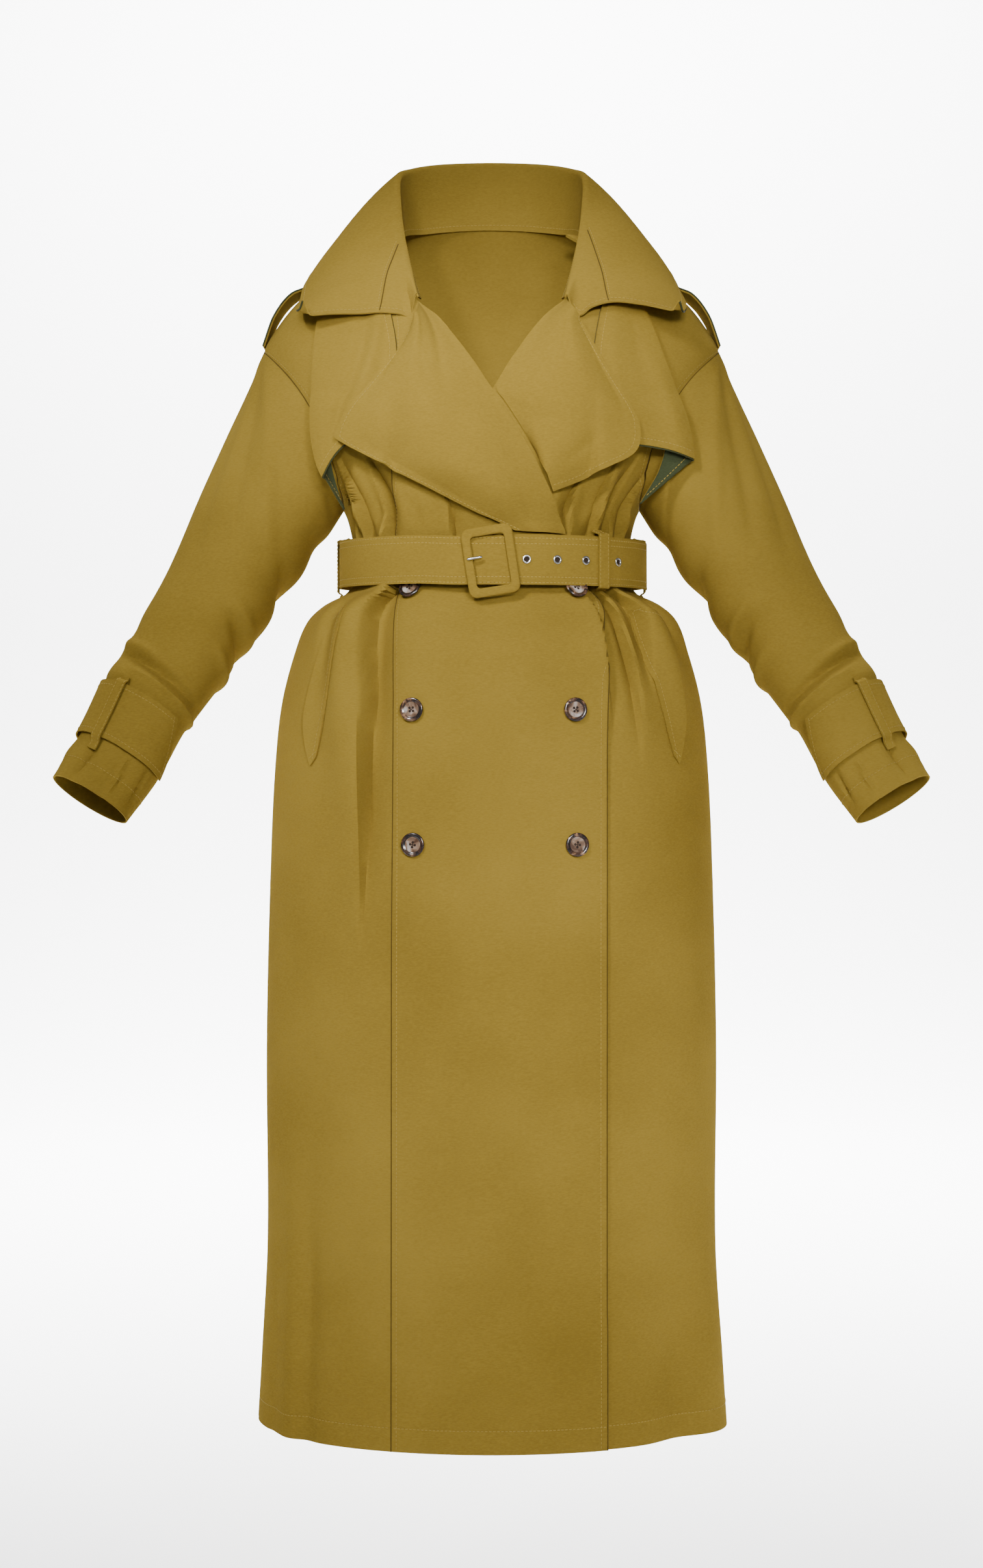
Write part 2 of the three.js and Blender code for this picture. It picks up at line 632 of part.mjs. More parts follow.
const BUCKLE_LIFT = BELT_WALL * 2 + 1; // the buckle's back, over the belt's face
const PRONG = { radius: 1.5, length: 17, x: -16, y: 5 };

// A point of the front view, turned by the buckle's tilt, on the belt's curve.
function onBuckle(x, y, lift) {
  const tilt = radians(BUCKLE.tilt);
  const across = BUCKLE.x + x * Math.cos(tilt) - y * Math.sin(tilt);
  const up = x * Math.sin(tilt) + y * Math.cos(tilt);
  const angle = degrees(Math.asin(across / (half(BELT_Z) + BELT_LIFT + lift)));
  return beltPoint(angle, BELT_Z - beltDip(0) - BUCKLE.drop + up, lift);
}

function makeBuckle() {
  const { width, height, bar, wall: thick } = BUCKLE;
  const inner = roundedOutline(width - 2 * bar, height - 2 * bar, 4);
  const outer = roundedOutline(width, height, 9);
  const grid = [outer, inner].map((ring) => ring.map(([x, y]) => onBuckle(x, y, BUCKLE_LIFT)));
  add("buckle", wall(grid, 0, thick, true));
  const { radius, length, x, y } = PRONG;
  const prong = new THREE.CylinderGeometry(radius, radius, length, 8).rotateZ(Math.PI / 2);
  const seat = onBuckle(x, y, BUCKLE_LIFT + thick + radius + SEAM);
  add("buckle_prong", prong.translate(seat.x, seat.y, seat.z), steel());
}

const EYELET_ANGLES = [12.8, 24.5, 36.5, 53];

function makeEyelets() {
  EYELET_ANGLES.forEach((angle, i) => {
    const ring = new THREE.LatheGeometry([
      new THREE.Vector2(2.6, 0), new THREE.Vector2(4.7, 0), new THREE.Vector2(4.7, 0.6),
      new THREE.Vector2(3.8, 1.2), new THREE.Vector2(2.6, 1), new THREE.Vector2(2.6, 0),
    ], 10);
    ring.rotateX(Math.PI / 2);
    const spot = beltPoint(angle, BELT_Z - beltDip(angle) - 1, BELT_WALL * 2 + 1.2);
    add(`eyelet_${i + 1}`, place(ring, spot, outwardAt(angle)), steel());
  });
}

// The belt starts behind the buckle and goes round by the wearer's left side. Its end comes through the
// buckle, with a seam under the buckle's bar, and lies over its start.
const BELT_START = -5;
const BELT_SEAM = 351.5;
const BELT_TIP = 446;

function makeBelt() {
  const gap = degrees(SEAM / (half(BELT_Z) * 0.85));
  beltStrip("belt", BELT_START, BELT_SEAM, 46, BELT_WALL);
  beltStrip("belt_end", BELT_SEAM + gap, BELT_TIP, 15, BELT_WALL - 0.4);
}

// Bands round the belt: the keeper near the front and the loops at the sides.
const LOOP_SECTION = table(["up", "rise"], [
  [-32, 0], [-28.5, 0.5], [-27, 1], [0, 1], [27, 1], [28.5, 0.5], [32, 0],
]);
const LOOP_SEAT = 5.5; // the loops' ends lie this far out from the body
const LOOP_WALL = 1.2;
const LOOP_GAP = 1.2; // between a loop and the belt under it

function beltLoop(name, angle, width, reachOut) {
  const span = degrees(width / 2 / half(BELT_Z));
  const grid = LOOP_SECTION.map(({ up, rise }) => [-1, 0, 1].map((side) => {
    const seat = body(angle + side * span, BELT_Z + up, LOOP_SEAT);
    const over = beltPoint(angle + side * span, BELT_Z - beltDip(angle) - 1 + up, reachOut);
    return seat.lerp(over, rise);
  }));
  add(name, wall(grid, 0, LOOP_WALL));
}

function makeLoops() {
  beltLoop("belt_keeper", 45, 13, BELT_WALL * 2 + LOOP_GAP);
  beltLoop("belt_loop_left", 94, 11, BELT_WALL + LOOP_GAP);
  beltLoop("belt_loop_right", -94, 11, BELT_WALL + LOOP_GAP);
}

const BUTTONS = table(["x", "z"], [
  [-82, -390], [-80, -514], [-79, -652], [82, -390], [84, -514], [86, -652],
]);

function makeButtons() {
  const rim = BUTTON_RADIUS;
  const profile = [
    [0, 0], [rim - 1.6, 0], [rim, 1.4], [rim, 2.6], [rim - 1, BUTTON_WALL], [rim - 2.6, BUTTON_WALL],
    [rim - 4.2, BUTTON_WALL - 1.3], [0, BUTTON_WALL - 1.5],
  ].map(([radius, height]) => new THREE.Vector2(radius, height));
  BUTTONS.forEach(({ x, z }, i) => {
    const disc = new THREE.LatheGeometry(profile, 16).rotateX(Math.PI / 2);
    const across = onFront(x + rim, z, 0).sub(onFront(x - rim, z, 0));
    const up = onFront(x, z + rim, 0).sub(onFront(x, z - rim, 0));
    const outward = across.cross(up).normalize();
    const middle = onFront(x, z, OVERLAP_LIFT);
    const raise = steps(8).map((t) => {
      const dx = rim * Math.cos(2 * Math.PI * t);
      const dz = rim * Math.sin(2 * Math.PI * t);
      return onFront(x + dx, z + dz, OVERLAP_LIFT).sub(middle).dot(outward);
    });
    const at = middle.addScaledVector(outward, Math.max(0, ...raise) + CLOTH + BUTTON_SHANK);
    add(`button_${i + 1}`, place(disc, at, outward), horn());
  });
}

// Pocket welts lie slanted on the fronts, from the hip up toward the belt.
const WELTS = {
  right: { topX: -144, topZ: -412, bottomX: -178, bottomZ: -560, lift: CLOTH + OVERLAP_LIFT + 5 },
  left: { topX: 146, topZ: -405, bottomX: 188, bottomZ: -560, lift: CLOTH + 3 },
};
const WELT_WIDTH = 38;
const WELT_SLOPE = 9; // how much lower the welt's outer edge is
const WELT_LIMIT = 86; // degrees from the middle front, short of the side seam

function makeWelt(side) {
  const { topX, topZ, bottomX, bottomZ, lift } = WELTS[side];
  const sign = Math.sign(topX);
  const grid = steps(9).map((t) => steps(3).map((s) => {
    const z = mix(bottomZ, topZ, t) - s * WELT_SLOPE;
    const inner = angleAt(mix(bottomX, topX, t), z);
    const outer = inner + sign * degrees(WELT_WIDTH / half(z)) * 1.15;
    const limit = sign * Math.min(Math.abs(outer), WELT_LIMIT);
    return body(mix(inner, limit, s), z, lift);
  }));
  if (sign < 0) grid.forEach((row) => row.reverse());
  add(`pocket_welt_${side}`, wall(grid, 0, CLOTH));
}

// The cuff straps' place down and around the sleeve, and their loops, which stand over them.
const STRAP = { top: 0.79, bottom: 0.93, start: -130, end: 170, lift: 2.4 };
const STRAP_LOOP = { reach: 0.025, around: 52, spread: 6.5, lift: 2, rise: 4 };

function makeCuffStraps() {
  const grid = steps(3).map((v) => steps(20).map((u) => {
    const around = mix(STRAP.start, STRAP.end, u);
    return sleevePoint(mix(STRAP.bottom, STRAP.top, v), around, STRAP.lift);
  }));
  const loop = steps(5).map((v) => [-1, 0, 1].map((s) => {
    const arch = Math.sin(Math.PI * v) > 0.3 ? STRAP_LOOP.rise : 0;
    const down = mix(STRAP.bottom + STRAP_LOOP.reach, STRAP.top - STRAP_LOOP.reach, v);
    return sleevePoint(down, STRAP_LOOP.around + s * STRAP_LOOP.spread, STRAP_LOOP.lift + arch);
  }));
  for (const [name, points] of [["cuff_strap", grid], ["cuff_strap_loop", loop]]) {
    add(`${name}_right`, wall(points, 0, CLOTH));
    add(`${name}_left`, wall(mirrored(points), 0, CLOTH));
  }
}

makeBack();
makeFronts();
makeSleeves();
makeCollar();
makeLapel("right", OVERLAP_LIFT + CLOTH);
makeLapel("left", CLOTH);
["right", "left"].forEach(makeFlap);
[-1, 1].forEach(makeEpaulette);
makeBelt();
makeBuckle();
makeEyelets();
makeLoops();
makeButtons();
["right", "left"].forEach(makeWelt);
makeCuffStraps();

export default coat;
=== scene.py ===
# A long belted trench coat in olive cotton twill, standing open and hollow as if worn.
# Tables and sizes are in millimetres, as on the cutting table; meshes are made in metres.
import math

import bpy
import numpy as np
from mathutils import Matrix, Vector


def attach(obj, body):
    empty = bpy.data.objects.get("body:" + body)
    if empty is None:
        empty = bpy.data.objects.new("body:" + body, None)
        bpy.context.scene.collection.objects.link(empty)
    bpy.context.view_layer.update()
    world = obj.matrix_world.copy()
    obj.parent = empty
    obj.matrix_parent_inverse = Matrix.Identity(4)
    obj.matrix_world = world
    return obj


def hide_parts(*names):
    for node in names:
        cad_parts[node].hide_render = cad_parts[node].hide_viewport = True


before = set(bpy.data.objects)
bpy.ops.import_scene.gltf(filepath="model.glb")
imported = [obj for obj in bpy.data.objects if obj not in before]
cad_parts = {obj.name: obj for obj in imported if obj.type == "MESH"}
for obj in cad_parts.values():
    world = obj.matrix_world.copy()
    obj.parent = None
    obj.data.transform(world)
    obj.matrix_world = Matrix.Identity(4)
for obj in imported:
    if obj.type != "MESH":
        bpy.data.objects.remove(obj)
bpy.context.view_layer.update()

MM = 0.001
CLOTH = 1.6
LINING = 1.0
SEAM = 0.3
UNDERARM_Z = -296.0
SHOULDER_TIP_Z = -127.0
ARMHOLE_DEPTH = 34.0  # degrees that it cuts into the front and the back
ARM_MIDDLE, ARM_REACH = (UNDERARM_Z + SHOULDER_TIP_Z) / 2, (SHOULDER_TIP_Z - UNDERARM_Z) / 2
OVERLAP_X = 117.0
OVERLAP_LIFT = 3.6
FRONT_SEAM_X = 101.0
BELT_Z = -357.0
BELT_WIDTH = 50.0
BELT_WALL = 3.0
BELT_LIFT = 17.0
BUTTON_RADIUS = 12.3
BUTTON_SHANK = 0.3
STITCH_IN = 7.0  # the topstitching's distance from an edge
STITCH_LENGTH = 3.0
STITCH_STEP = 4.1
THREAD = 0.34  # its radius
SEAM_SHADOW_RADIUS = 0.6  # of the dark tube painted along a seam as the shadow in its groove


class Table:
    """Rows under named columns, read on a smooth curve along the first column."""

    def __init__(self, columns, rows):
        self.columns = columns
        self.rows = np.array(rows, float)
        if self.rows[0, 0] > self.rows[-1, 0]:
            self.rows = self.rows[::-1]

    def at(self, column, place):
        keys, values = self.rows[:, 0], self.rows[:, self.columns.index(column)]
        place = np.clip(np.asarray(place, float), keys[0], keys[-1])
        slopes = np.empty(len(keys))
        slopes[1:-1] = (values[2:] - values[:-2]) / (keys[2:] - keys[:-2])
        slopes[0] = (values[1] - values[0]) / (keys[1] - keys[0])
        slopes[-1] = (values[-1] - values[-2]) / (keys[-1] - keys[-2])
        i = np.clip(np.searchsorted(keys, place, "right") - 1, 0, len(keys) - 2)
        span = keys[i + 1] - keys[i]
        t = (place - keys[i]) / span
        rise = values[i + 1] - values[i]
        start, end = slopes[i] * span - rise, rise - slopes[i + 1] * span
        return values[i] + rise * t + t * (1 - t) * (start * (1 - t) + end * t)


RINGS = Table(["z", "half", "front", "back"], [
    [-1270, 249, 162, 144], [-1200, 245, 160, 142], [-1077, 239, 156, 138], [-867, 240, 152, 134],
    [-657, 235, 149, 131], [-560, 230, 149, 130], [-500, 223, 148, 128], [-447, 209, 145, 125],
    [-416, 196, 131, 118], [-399, 178, 123, 111], [-386, 154, 116, 101], [-357, 143, 112, 96],
    [-325, 148, 118, 101], [-296, 157, 127, 106], [-255, 186, 131, 111], [-203, 220, 132, 113],
    [-155, 239, 126, 112], [-127, 243, 117, 108], [-104, 231, 107, 102], [-80, 213, 94, 95],
    [-57, 189, 79, 87], [-38, 163, 65, 80], [-19, 128, 49, 72], [-4, 98, 38, 66],
])
NECK_Z = -4.0
BACK_NECK_RISE = 24.0
FOLD_START = 26.0

# Folds of the body: the angle at both ends, the levels of both ends, the half width in degrees, the height.
FOLDS = [
    [-48, -41, -331, -215, 6, -11], [-60, -50, -331, -226, 5, 8], [-72, -70, -329, -297, 5, -7],
    [-18, -20, -331, -270, 6, -3.5], [31, 34, -331, -235, 6, -4], [45, 43, -331, -215, 6, 7],
    [56, 50, -331, -236, 5, -8], [68, 66, -329, -297, 5, 6], [-46, -37, -384, -640, 6, 13],
    [-37, -28, -384, -620, 5, -7], [-58, -47, -384, -520, 5, -5], [44, 50, -384, -520, 6, -7],
    [54, 62, -384, -560, 6, 9], [66, 76, -384, -500, 5, -6], [-56, -62, -1285, -860, 5, 5],
    [-50, -52, -1285, -900, 4, -5], [70, 66, -1300, -980, 12, 9], [52, 52, -1300, -1010, 9, -9],
    [110, 106, -329, -297, 6, 6], [126, 132, -331, -200, 6, -8], [140, 146, -331, -230, 6, 7],
    [220, 214, -331, -230, 6, 7], [234, 228, -331, -200, 6, -8], [250, 254, -329, -297, 6, 6],
    [116, 108, -384, -560, 6, -8], [130, 122, -384, -620, 6, 9], [158, 154, -384, -520, 6, -5],
    [202, 206, -384, -520, 6, -5], [230, 238, -384, -620, 6, 9], [244, 252, -384, -560, 6, -8],
    [118, 116, -1300, -900, 9, 7], [244, 242, -1300, -940, 9, 7],
]
# Smaller creases that only the fine surface shows, in the same columns.
CREASES = [
    [-30, -31, -331, -285, 3, -2.4], [-36, -37, -331, -262, 3, 2], [24, 25, -331, -270, 3, 2],
    [38, 39, -331, -262, 3, -2.6], [-4, -6, -384, -470, 7, -1.6], [14, 11, -384, -520, 6, 1.4],
    [-21, -20, -384, -560, 5, 1.8], [33, 34, -384, -500, 4, 1.8], [38, 42, -384, -470, 3, -2.2],
    [-66, -58, -384, -470, 3.4, 2.4], [80, 84, -384, -460, 4, 2.6], [-80, -82, -384, -470, 4, -2.4],
    [104, 100, -384, -470, 4, 2.4], [142, 139, -384, -500, 4, -2.6], [172, 172, -384, -480, 5, 2],
    [188, 190, -384, -500, 5, 2], [218, 220, -384, -490, 4, -2.6], [256, 259, -384, -460, 4, 2.4],
    [152, 150, -331, -262, 4, -2.6], [166, 166, -331, -280, 4, 2], [194, 195, -331, -275, 4, 2],
    [208, 210, -331, -258, 4, -2.6], [-68, -72, -700, -1180, 7, 1.6], [74, 70, -640, -1150, 8, -1.8],
    [-66, -70, -1285, -1000, 3, -1.8], [34, 36, -1150, -700, 10, -1.5], [150, 148, -1290, -700, 11, 3],
    [210, 212, -1290, -760, 11, 3], [180, 180, -1290, -820, 14, -2.4],
]


def smooth(x, low, high):
    t = np.clip((np.asarray(x, float) - low) / (high - low), 0, 1)
    return t * t * (3 - 2 * t)


def mix(a, b, t):
    return a + (b - a) * t


def turned(angle):
    """An angle between -180 and 180 degrees."""
    return (angle + 180) % 360 - 180


# Pleats with a sharp edge: the edge's angle at both ends, the ends' levels, the height on the left of
# the edge and on its right (as seen from the front), and how far each side reaches in degrees.
# The first two are one long pleat: the one runs on at its foot into the other's head.
LONG_PLEAT = [
    [-42, -34.4, -370, -500, 13, -15, 9, 8], [-34.4, -34, -500, -780, 13, -15, 9, 8],
]
PLEATS = [
    [-46.5, -42, -345, -225, 10, -13, 5, 4], [-59, -54, -345, -228, 8, -11, 5, 4],
    [-68, -63, -345, -250, 6, -9, 4, 4], [-15, -18, -345, -275, 4, -6, 4, 4],
    [31, 33, -345, -250, -8, 5, 4, 4], [45, 43, -345, -230, -8, 6, 5, 4],
    [55.5, 52, -345, -230, -8, 6, 4, 5], [66, 63, -345, -245, -10, 6, 4, 4],
    [52, 49, -370, -500, -13, 11, 5, 7], [43.5, 42, -370, -580, -12, 8, 4, 5],
    [33.6, 32.6, -370, -560, 7, -9, 6, 3],
    [130, 136, -331, -225, 4, -4, 6, 5], [150, 152, -331, -250, 3, -3, 5, 5],
    [210, 208, -331, -250, -3, 3, 5, 5], [230, 224, -331, -225, -4, 4, 5, 6],
    [124, 118, -384, -520, -4, 4, 6, 6], [146, 142, -384, -500, -3, 3, 5, 5],
    [236, 242, -384, -520, 4, -4, 6, 6], [214, 218, -384, -500, 3, -3, 5, 5],
]
PLEAT_EDGE = 0.45  # degrees: how sharp a pleat's edge is
PLEAT_START = 12.0


def one_pleat(pleat, angle, z, starts=True, ends=True):
    """A pleat's height. It rises from nothing where it starts and fades out where it ends."""
    top, bottom, top_z, bottom_z, left, right, left_reach, right_reach = pleat
    run = (z - top_z) / (bottom_z - top_z)
    across = turned(angle - mix(top, bottom, np.clip(run, 0, 1)))
    rise = smooth(np.abs(z - top_z), 0, PLEAT_START) if starts else 1.0
    fade = rise * (1 - smooth(run, 0.35, 1) if ends else 1)
    inside = (run >= 0) & (run < 1)
    over = 0.5 + 0.5 * np.tanh(across / PLEAT_EDGE)
    profile = (left * (1 - over) * np.exp(-np.abs(across / left_reach) ** 1.6)
               + right * over * np.exp(-np.abs(across / right_reach) ** 1.6))
    return np.where(inside, fade * profile, 0)


def pleat_height(angle, z):
    head, foot = LONG_PLEAT
    height = one_pleat(head, angle, z, ends=False) + one_pleat(foot, angle, z, starts=False)
    for pleat in PLEATS:
        height = height + one_pleat(pleat, angle, z)
    return height


def fold_height(angle, z, fine=True):
    height = np.zeros(np.broadcast(angle, z).shape)
    for top, bottom, top_z, bottom_z, spread, size in FOLDS + (CREASES if fine else []):
        run = (z - top_z) / (bottom_z - top_z)
        across = turned(angle - mix(top, bottom, np.clip(run, 0, 1))) / spread
        fade = smooth(np.abs(z - top_z), 0, FOLD_START) * (1 - smooth(run, 0.3, 1))
        inside = (run >= 0) & (run <= 1)
        height += np.where(inside, size * fade * np.exp(-across * across), 0)
    return height + pleat_height(angle, z) if fine else height


def normalized(v):
    return v / np.maximum(np.linalg.norm(v, axis=-1, keepdims=True), 1e-12)


def body(angle, z, lift=0.0, fine=True):
    """Points of the body by their angle from the middle front and their level."""
    angle, z, lift = np.broadcast_arrays(np.asarray(angle, float), np.asarray(z, float), lift)
    turn = np.radians(angle)
    forward, side = np.cos(turn), np.sin(turn)
    half = RINGS.at("half", z)
    depth = np.where(forward > 0, RINGS.at("front", z), RINGS.at("back", z))
    rise = BACK_NECK_RISE * np.maximum(0, -forward) * smooth(z, -150, NECK_Z) ** 1.5
    outward = normalized(np.stack([side / half, -forward / depth, np.zeros_like(z)], -1))
    points = np.stack([side * half, -forward * depth, z + rise], -1)
    return points + outward * (fold_height(angle, z, fine) + lift)[..., None]


def angle_at(x, z):
    return np.degrees(np.arcsin(np.clip(x / RINGS.at("half", z), -1, 1)))


def on_front(x, z, lift=0.0, fine=True):
    return body(angle_at(x, z), z, lift, fine)


def side_angle(z):
    out = np.clip((np.asarray(z, float) - ARM_MIDDLE) / ARM_REACH, -1, 1)
    return 90 - ARMHOLE_DEPTH * np.sqrt(1 - out * out)


def seam_gap(z):
    depth = np.minimum(RINGS.at("front", z), RINGS.at("back", z))
    return np.degrees(SEAM * 0.12 / depth)


# Levels of the fine rows: even, but closing in at the armhole's two ends and at the belt.
ARM_LEVELS = ARM_MIDDLE - np.cos(np.linspace(0, np.pi, 45)) * ARM_REACH
LEVELS = np.concatenate([
    np.linspace(-1270, -450, 84)[:-1], np.linspace(-450, -330, 34)[:-1],
    np.linspace(-330, UNDERARM_Z, 12)[:-1], ARM_LEVELS[:-1], np.linspace(SHOULDER_TIP_Z, NECK_Z, 32),
])


# Meshes

def grid_normals(grid, closed=False):
    if closed:
        across = np.roll(grid, -1, 1) - np.roll(grid, 1, 1)
    else:
        across = np.gradient(grid, axis=1)
    return normalized(np.cross(across, np.gradient(grid, axis=0)))


def wall_mesh(grid, inner, outer, closed=False):
    """Vertices and quads of a wall between two distances along a grid's normals."""
    rows, columns = grid.shape[:2]
    normals = grid_normals(grid, closed)
    layers = np.stack([grid + normals * outer, grid + normals * inner])
    index = np.arange(2 * rows * columns).reshape(2, rows, columns)
    if closed:
        index = np.concatenate([index, index[:, :, :1]], 2)
    out, back = index
    quads = [
        np.stack([out[:-1, :-1], out[:-1, 1:], out[1:, 1:], out[1:, :-1]], -1).reshape(-1, 4),
        np.stack([back[:-1, :-1], back[1:, :-1], back[1:, 1:], back[:-1, 1:]], -1).reshape(-1, 4),
        np.stack([out[0, 1:], out[0, :-1], back[0, :-1], back[0, 1:]], -1),
        np.stack([out[-1, :-1], out[-1, 1:], back[-1, 1:], back[-1, :-1]], -1),
    ]
    if not closed:
        quads.append(np.stack([out[:-1, 0], out[1:, 0], back[1:, 0], back[:-1, 0]], -1))
        quads.append(np.stack([out[1:, -1], out[:-1, -1], back[:-1, -1], back[1:, -1]], -1))
    return layers.reshape(-1, 3), np.concatenate(quads)


def new_object(name, points, faces, material, sharp=35.0):
    """A smooth mesh; its edges above the sharp angle stay hard, or none where that is None."""
    mesh = bpy.data.meshes.new(name)
    listed = faces if isinstance(faces, list) else faces.tolist()
    mesh.from_pydata((np.asarray(points) * MM).tolist(), [], listed)
    mesh.materials.append(material)
    mesh.shade_smooth()
    if sharp is not None:
        mesh.set_sharp_from_angle(angle=math.radians(sharp))
    piece = bpy.data.objects.new(name, mesh)
    bpy.context.scene.collection.objects.link(piece)
    return piece


def loose(piece):
    """Finishes a piece that stands for no node of its own."""
    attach(piece, "root")
    return piece


def own(piece, node):
    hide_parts(*([node] if isinstance(node, str) else node))
    return loose(piece)


def round_quads(index):
    """Quads between the rows of a grid of indices whose rows are closed rings."""
    after = np.roll(index, -1, 1)
    return np.stack([index[:-1], after[:-1], after[1:], index[1:]], -1).reshape(-1, 4)


def facing(outward):
    """Unit directions outward, sideways and up for something that is set to face outward."""
    outward = normalized(np.asarray(outward, float))
    side = normalized(np.cross([0, 0, 1.0], outward))
    return outward, side, np.cross(outward, side)


def cloth_piece(name, node, grid, inner, outer, material, closed=False):
    """A piece of cloth: its wall."""
    points, faces = wall_mesh(grid, inner, outer, closed)
    piece = own(new_object(name, points, faces, material), node)


def cloth_layer(name, grid, inner, outer, material):
    """A second layer of cloth on a piece that already stands for the node."""
    points, faces = wall_mesh(grid, inner, outer)
    piece = loose(new_object(name, points, faces, material))


# Materials

def principled(name, color, roughness, metallic=0.0):
    material = bpy.data.materials.new(name)
    material.use_nodes = True
    shader = material.node_tree.nodes["Principled BSDF"]
    shader.inputs["Base Color"].default_value = (*color, 1)
    shader.inputs["Roughness"].default_value = roughness
    shader.inputs["Metallic"].default_value = metallic
    return material, material.node_tree, shader


def node(tree, kind, **inputs):
    made = tree.nodes.new(kind)
    for key, value in inputs.items():
        made.inputs[key.replace("_", " ")].default_value = value
    return made


def ramp(tree, stops):
    made = tree.nodes.new("ShaderNodeValToRGB")
    elements = made.color_ramp.elements
    for element, (place, color) in zip(elements, (stops[0], stops[-1])):
        element.position = place
        element.color = (*color, 1)
    for place, color in stops[1:-1]:
        elements.new(place).color = (*color, 1)
    return made


TWILL_COLOR = (0.250, 0.166, 0.0275)
TWILL_DARK = (0.196, 0.128, 0.0200)
TWILL_LIGHT = (0.302, 0.204, 0.0360)
GREEN_COLOR = (0.046, 0.056, 0.026)


def woven(name, dark, middle, light, rib, depth, roughness, sheen):
    """Cloth with a fine diagonal rib, slubs in its threads and slow changes of shade."""
    material, tree, shader = principled(name, middle, roughness)
    shader.inputs["Sheen Weight"].default_value = sheen
    shader.inputs["Sheen Roughness"].default_value = 0.5
    shader.inputs["Sheen Tint"].default_value = (0.9, 0.82, 0.55, 1)
    shader.inputs["Specular IOR Level"].default_value = 0.0
    place = tree.nodes.new("ShaderNodeTexCoord")
    shade = node(tree, "ShaderNodeTexNoise", Scale=3.1, Detail=3.0, Roughness=0.55)
    slub_space = node(tree, "ShaderNodeMapping", Scale=(260.0, 260.0, 900.0))
    slubs = node(tree, "ShaderNodeTexNoise", Scale=1.0, Detail=2.0, Roughness=0.6)
    turned_space = node(tree, "ShaderNodeMapping", Rotation=(0.0, math.radians(52), 0.0))
    ribs = node(tree, "ShaderNodeTexWave", Scale=rib, Distortion=0.6, Detail=1.0, Detail_Scale=2.0)
    crumple = node(tree, "ShaderNodeTexNoise", Scale=34.0, Detail=3.0, Roughness=0.55)
    colors = ramp(tree, [(0.3, dark), (0.5, middle), (0.7, light)])
    blend = tree.nodes.new("ShaderNodeMath")
    blend.operation = "MULTIPLY_ADD"
    blend.inputs[1].default_value = 0.36
    link = tree.links.new
    link(place.outputs["Object"], shade.inputs["Vector"])
    link(place.outputs["Object"], slub_space.inputs["Vector"])
    link(slub_space.outputs[0], slubs.inputs["Vector"])
    link(place.outputs["Object"], turned_space.inputs["Vector"])
    link(turned_space.outputs[0], ribs.inputs["Vector"])
    link(place.outputs["Object"], crumple.inputs["Vector"])
    link(slubs.outputs["Fac"], blend.inputs[0])
    shift = node(tree, "ShaderNodeMath")
    shift.operation = "MULTIPLY_ADD"
    shift.inputs[1].default_value = 0.8
    shift.inputs[2].default_value = -0.08
    link(shade.outputs["Fac"], shift.inputs[0])
    link(shift.outputs[0], blend.inputs[2])
    link(blend.outputs[0], colors.inputs["Fac"])
    link(colors.outputs[0], shader.inputs["Base Color"])
    fine = node(tree, "ShaderNodeBump", Strength=0.5, Distance=depth)
    soft = node(tree, "ShaderNodeBump", Strength=0.5, Distance=0.0012)
    link(ribs.outputs["Fac"], fine.inputs["Height"])
    link(crumple.outputs["Fac"], soft.inputs["Height"])
    link(fine.outputs[0], soft.inputs["Normal"])
    link(soft.outputs[0], shader.inputs["Normal"])
    return material


def thread_material(name, color):
    material, _, shader = principled(name, color, 0.75)
    shader.inputs["Specular IOR Level"].default_value = 0.05
    return material


def horn_material(name, color, roughness, coat, size, detail, twist, stops):
    """Polished horn with flecks; the stops are its colours from the darkest to the palest fleck."""
    material, tree, shader = principled(name, color, roughness)
    shader.inputs["Coat Weight"].default_value = coat
    place = tree.nodes.new("ShaderNodeTexCoord")
    flecks = node(tree, "ShaderNodeTexNoise", Scale=size, Detail=3.0, Roughness=detail, Distortion=twist)
    colors = ramp(tree, stops)
    tree.links.new(place.outputs["Object"], flecks.inputs["Vector"])
    tree.links.new(flecks.outputs["Fac"], colors.inputs["Fac"])
    tree.links.new(colors.outputs[0], shader.inputs["Base Color"])
    return material


def steel_material():
    material, tree, shader = principled("steel", (0.62, 0.62, 0.6), 0.22, 1.0)
    grain = node(tree, "ShaderNodeTexNoise", Scale=900.0, Detail=2.0)
    bump = node(tree, "ShaderNodeBump", Strength=0.15, Distance=0.0001)
    tree.links.new(grain.outputs["Fac"], bump.inputs["Height"])
    tree.links.new(bump.outputs[0], shader.inputs["Normal"])
    return material


TWILL = woven("twill", TWILL_DARK, TWILL_COLOR, TWILL_LIGHT, 520.0, 0.00012, 0.9, 0.015)
LINING_CLOTH = woven("green_lining", (0.036, 0.044, 0.019), GREEN_COLOR, (0.060, 0.071, 0.036), 700.0,
                     0.00006, 0.6, 0.1)
THREAD_OLIVE = thread_material("thread", (0.33, 0.23, 0.052))
# Dark thread; its colour also paints the shade inside the holes of the buttons and eyelets.
THREAD_AND_HOLE_SHADE = thread_material("button_thread_and_hole_shade", (0.03, 0.02, 0.015))
# Dark colour of the tubes painted along seams as the shadow in their grooves.
SEAM_SHADOW = thread_material("painted_seam_shadow", (0.085, 0.056, 0.012))
# Dark green of the tubes along the lower edges of the collar and storm flaps: the lining seen at the edge,
# and the painted shadow under it.
EDGE_LINING_AND_SHADE = thread_material("edge_lining_and_shade", (0.05, 0.052, 0.02))
HORN = horn_material("horn", (0.03, 0.018, 0.012), 0.22, 0.4, 70.0, 0.6, 1.4, [
    (0.42, (0.012, 0.008, 0.007)), (0.56, (0.06, 0.028, 0.016)), (0.72, (0.36, 0.2, 0.1))])
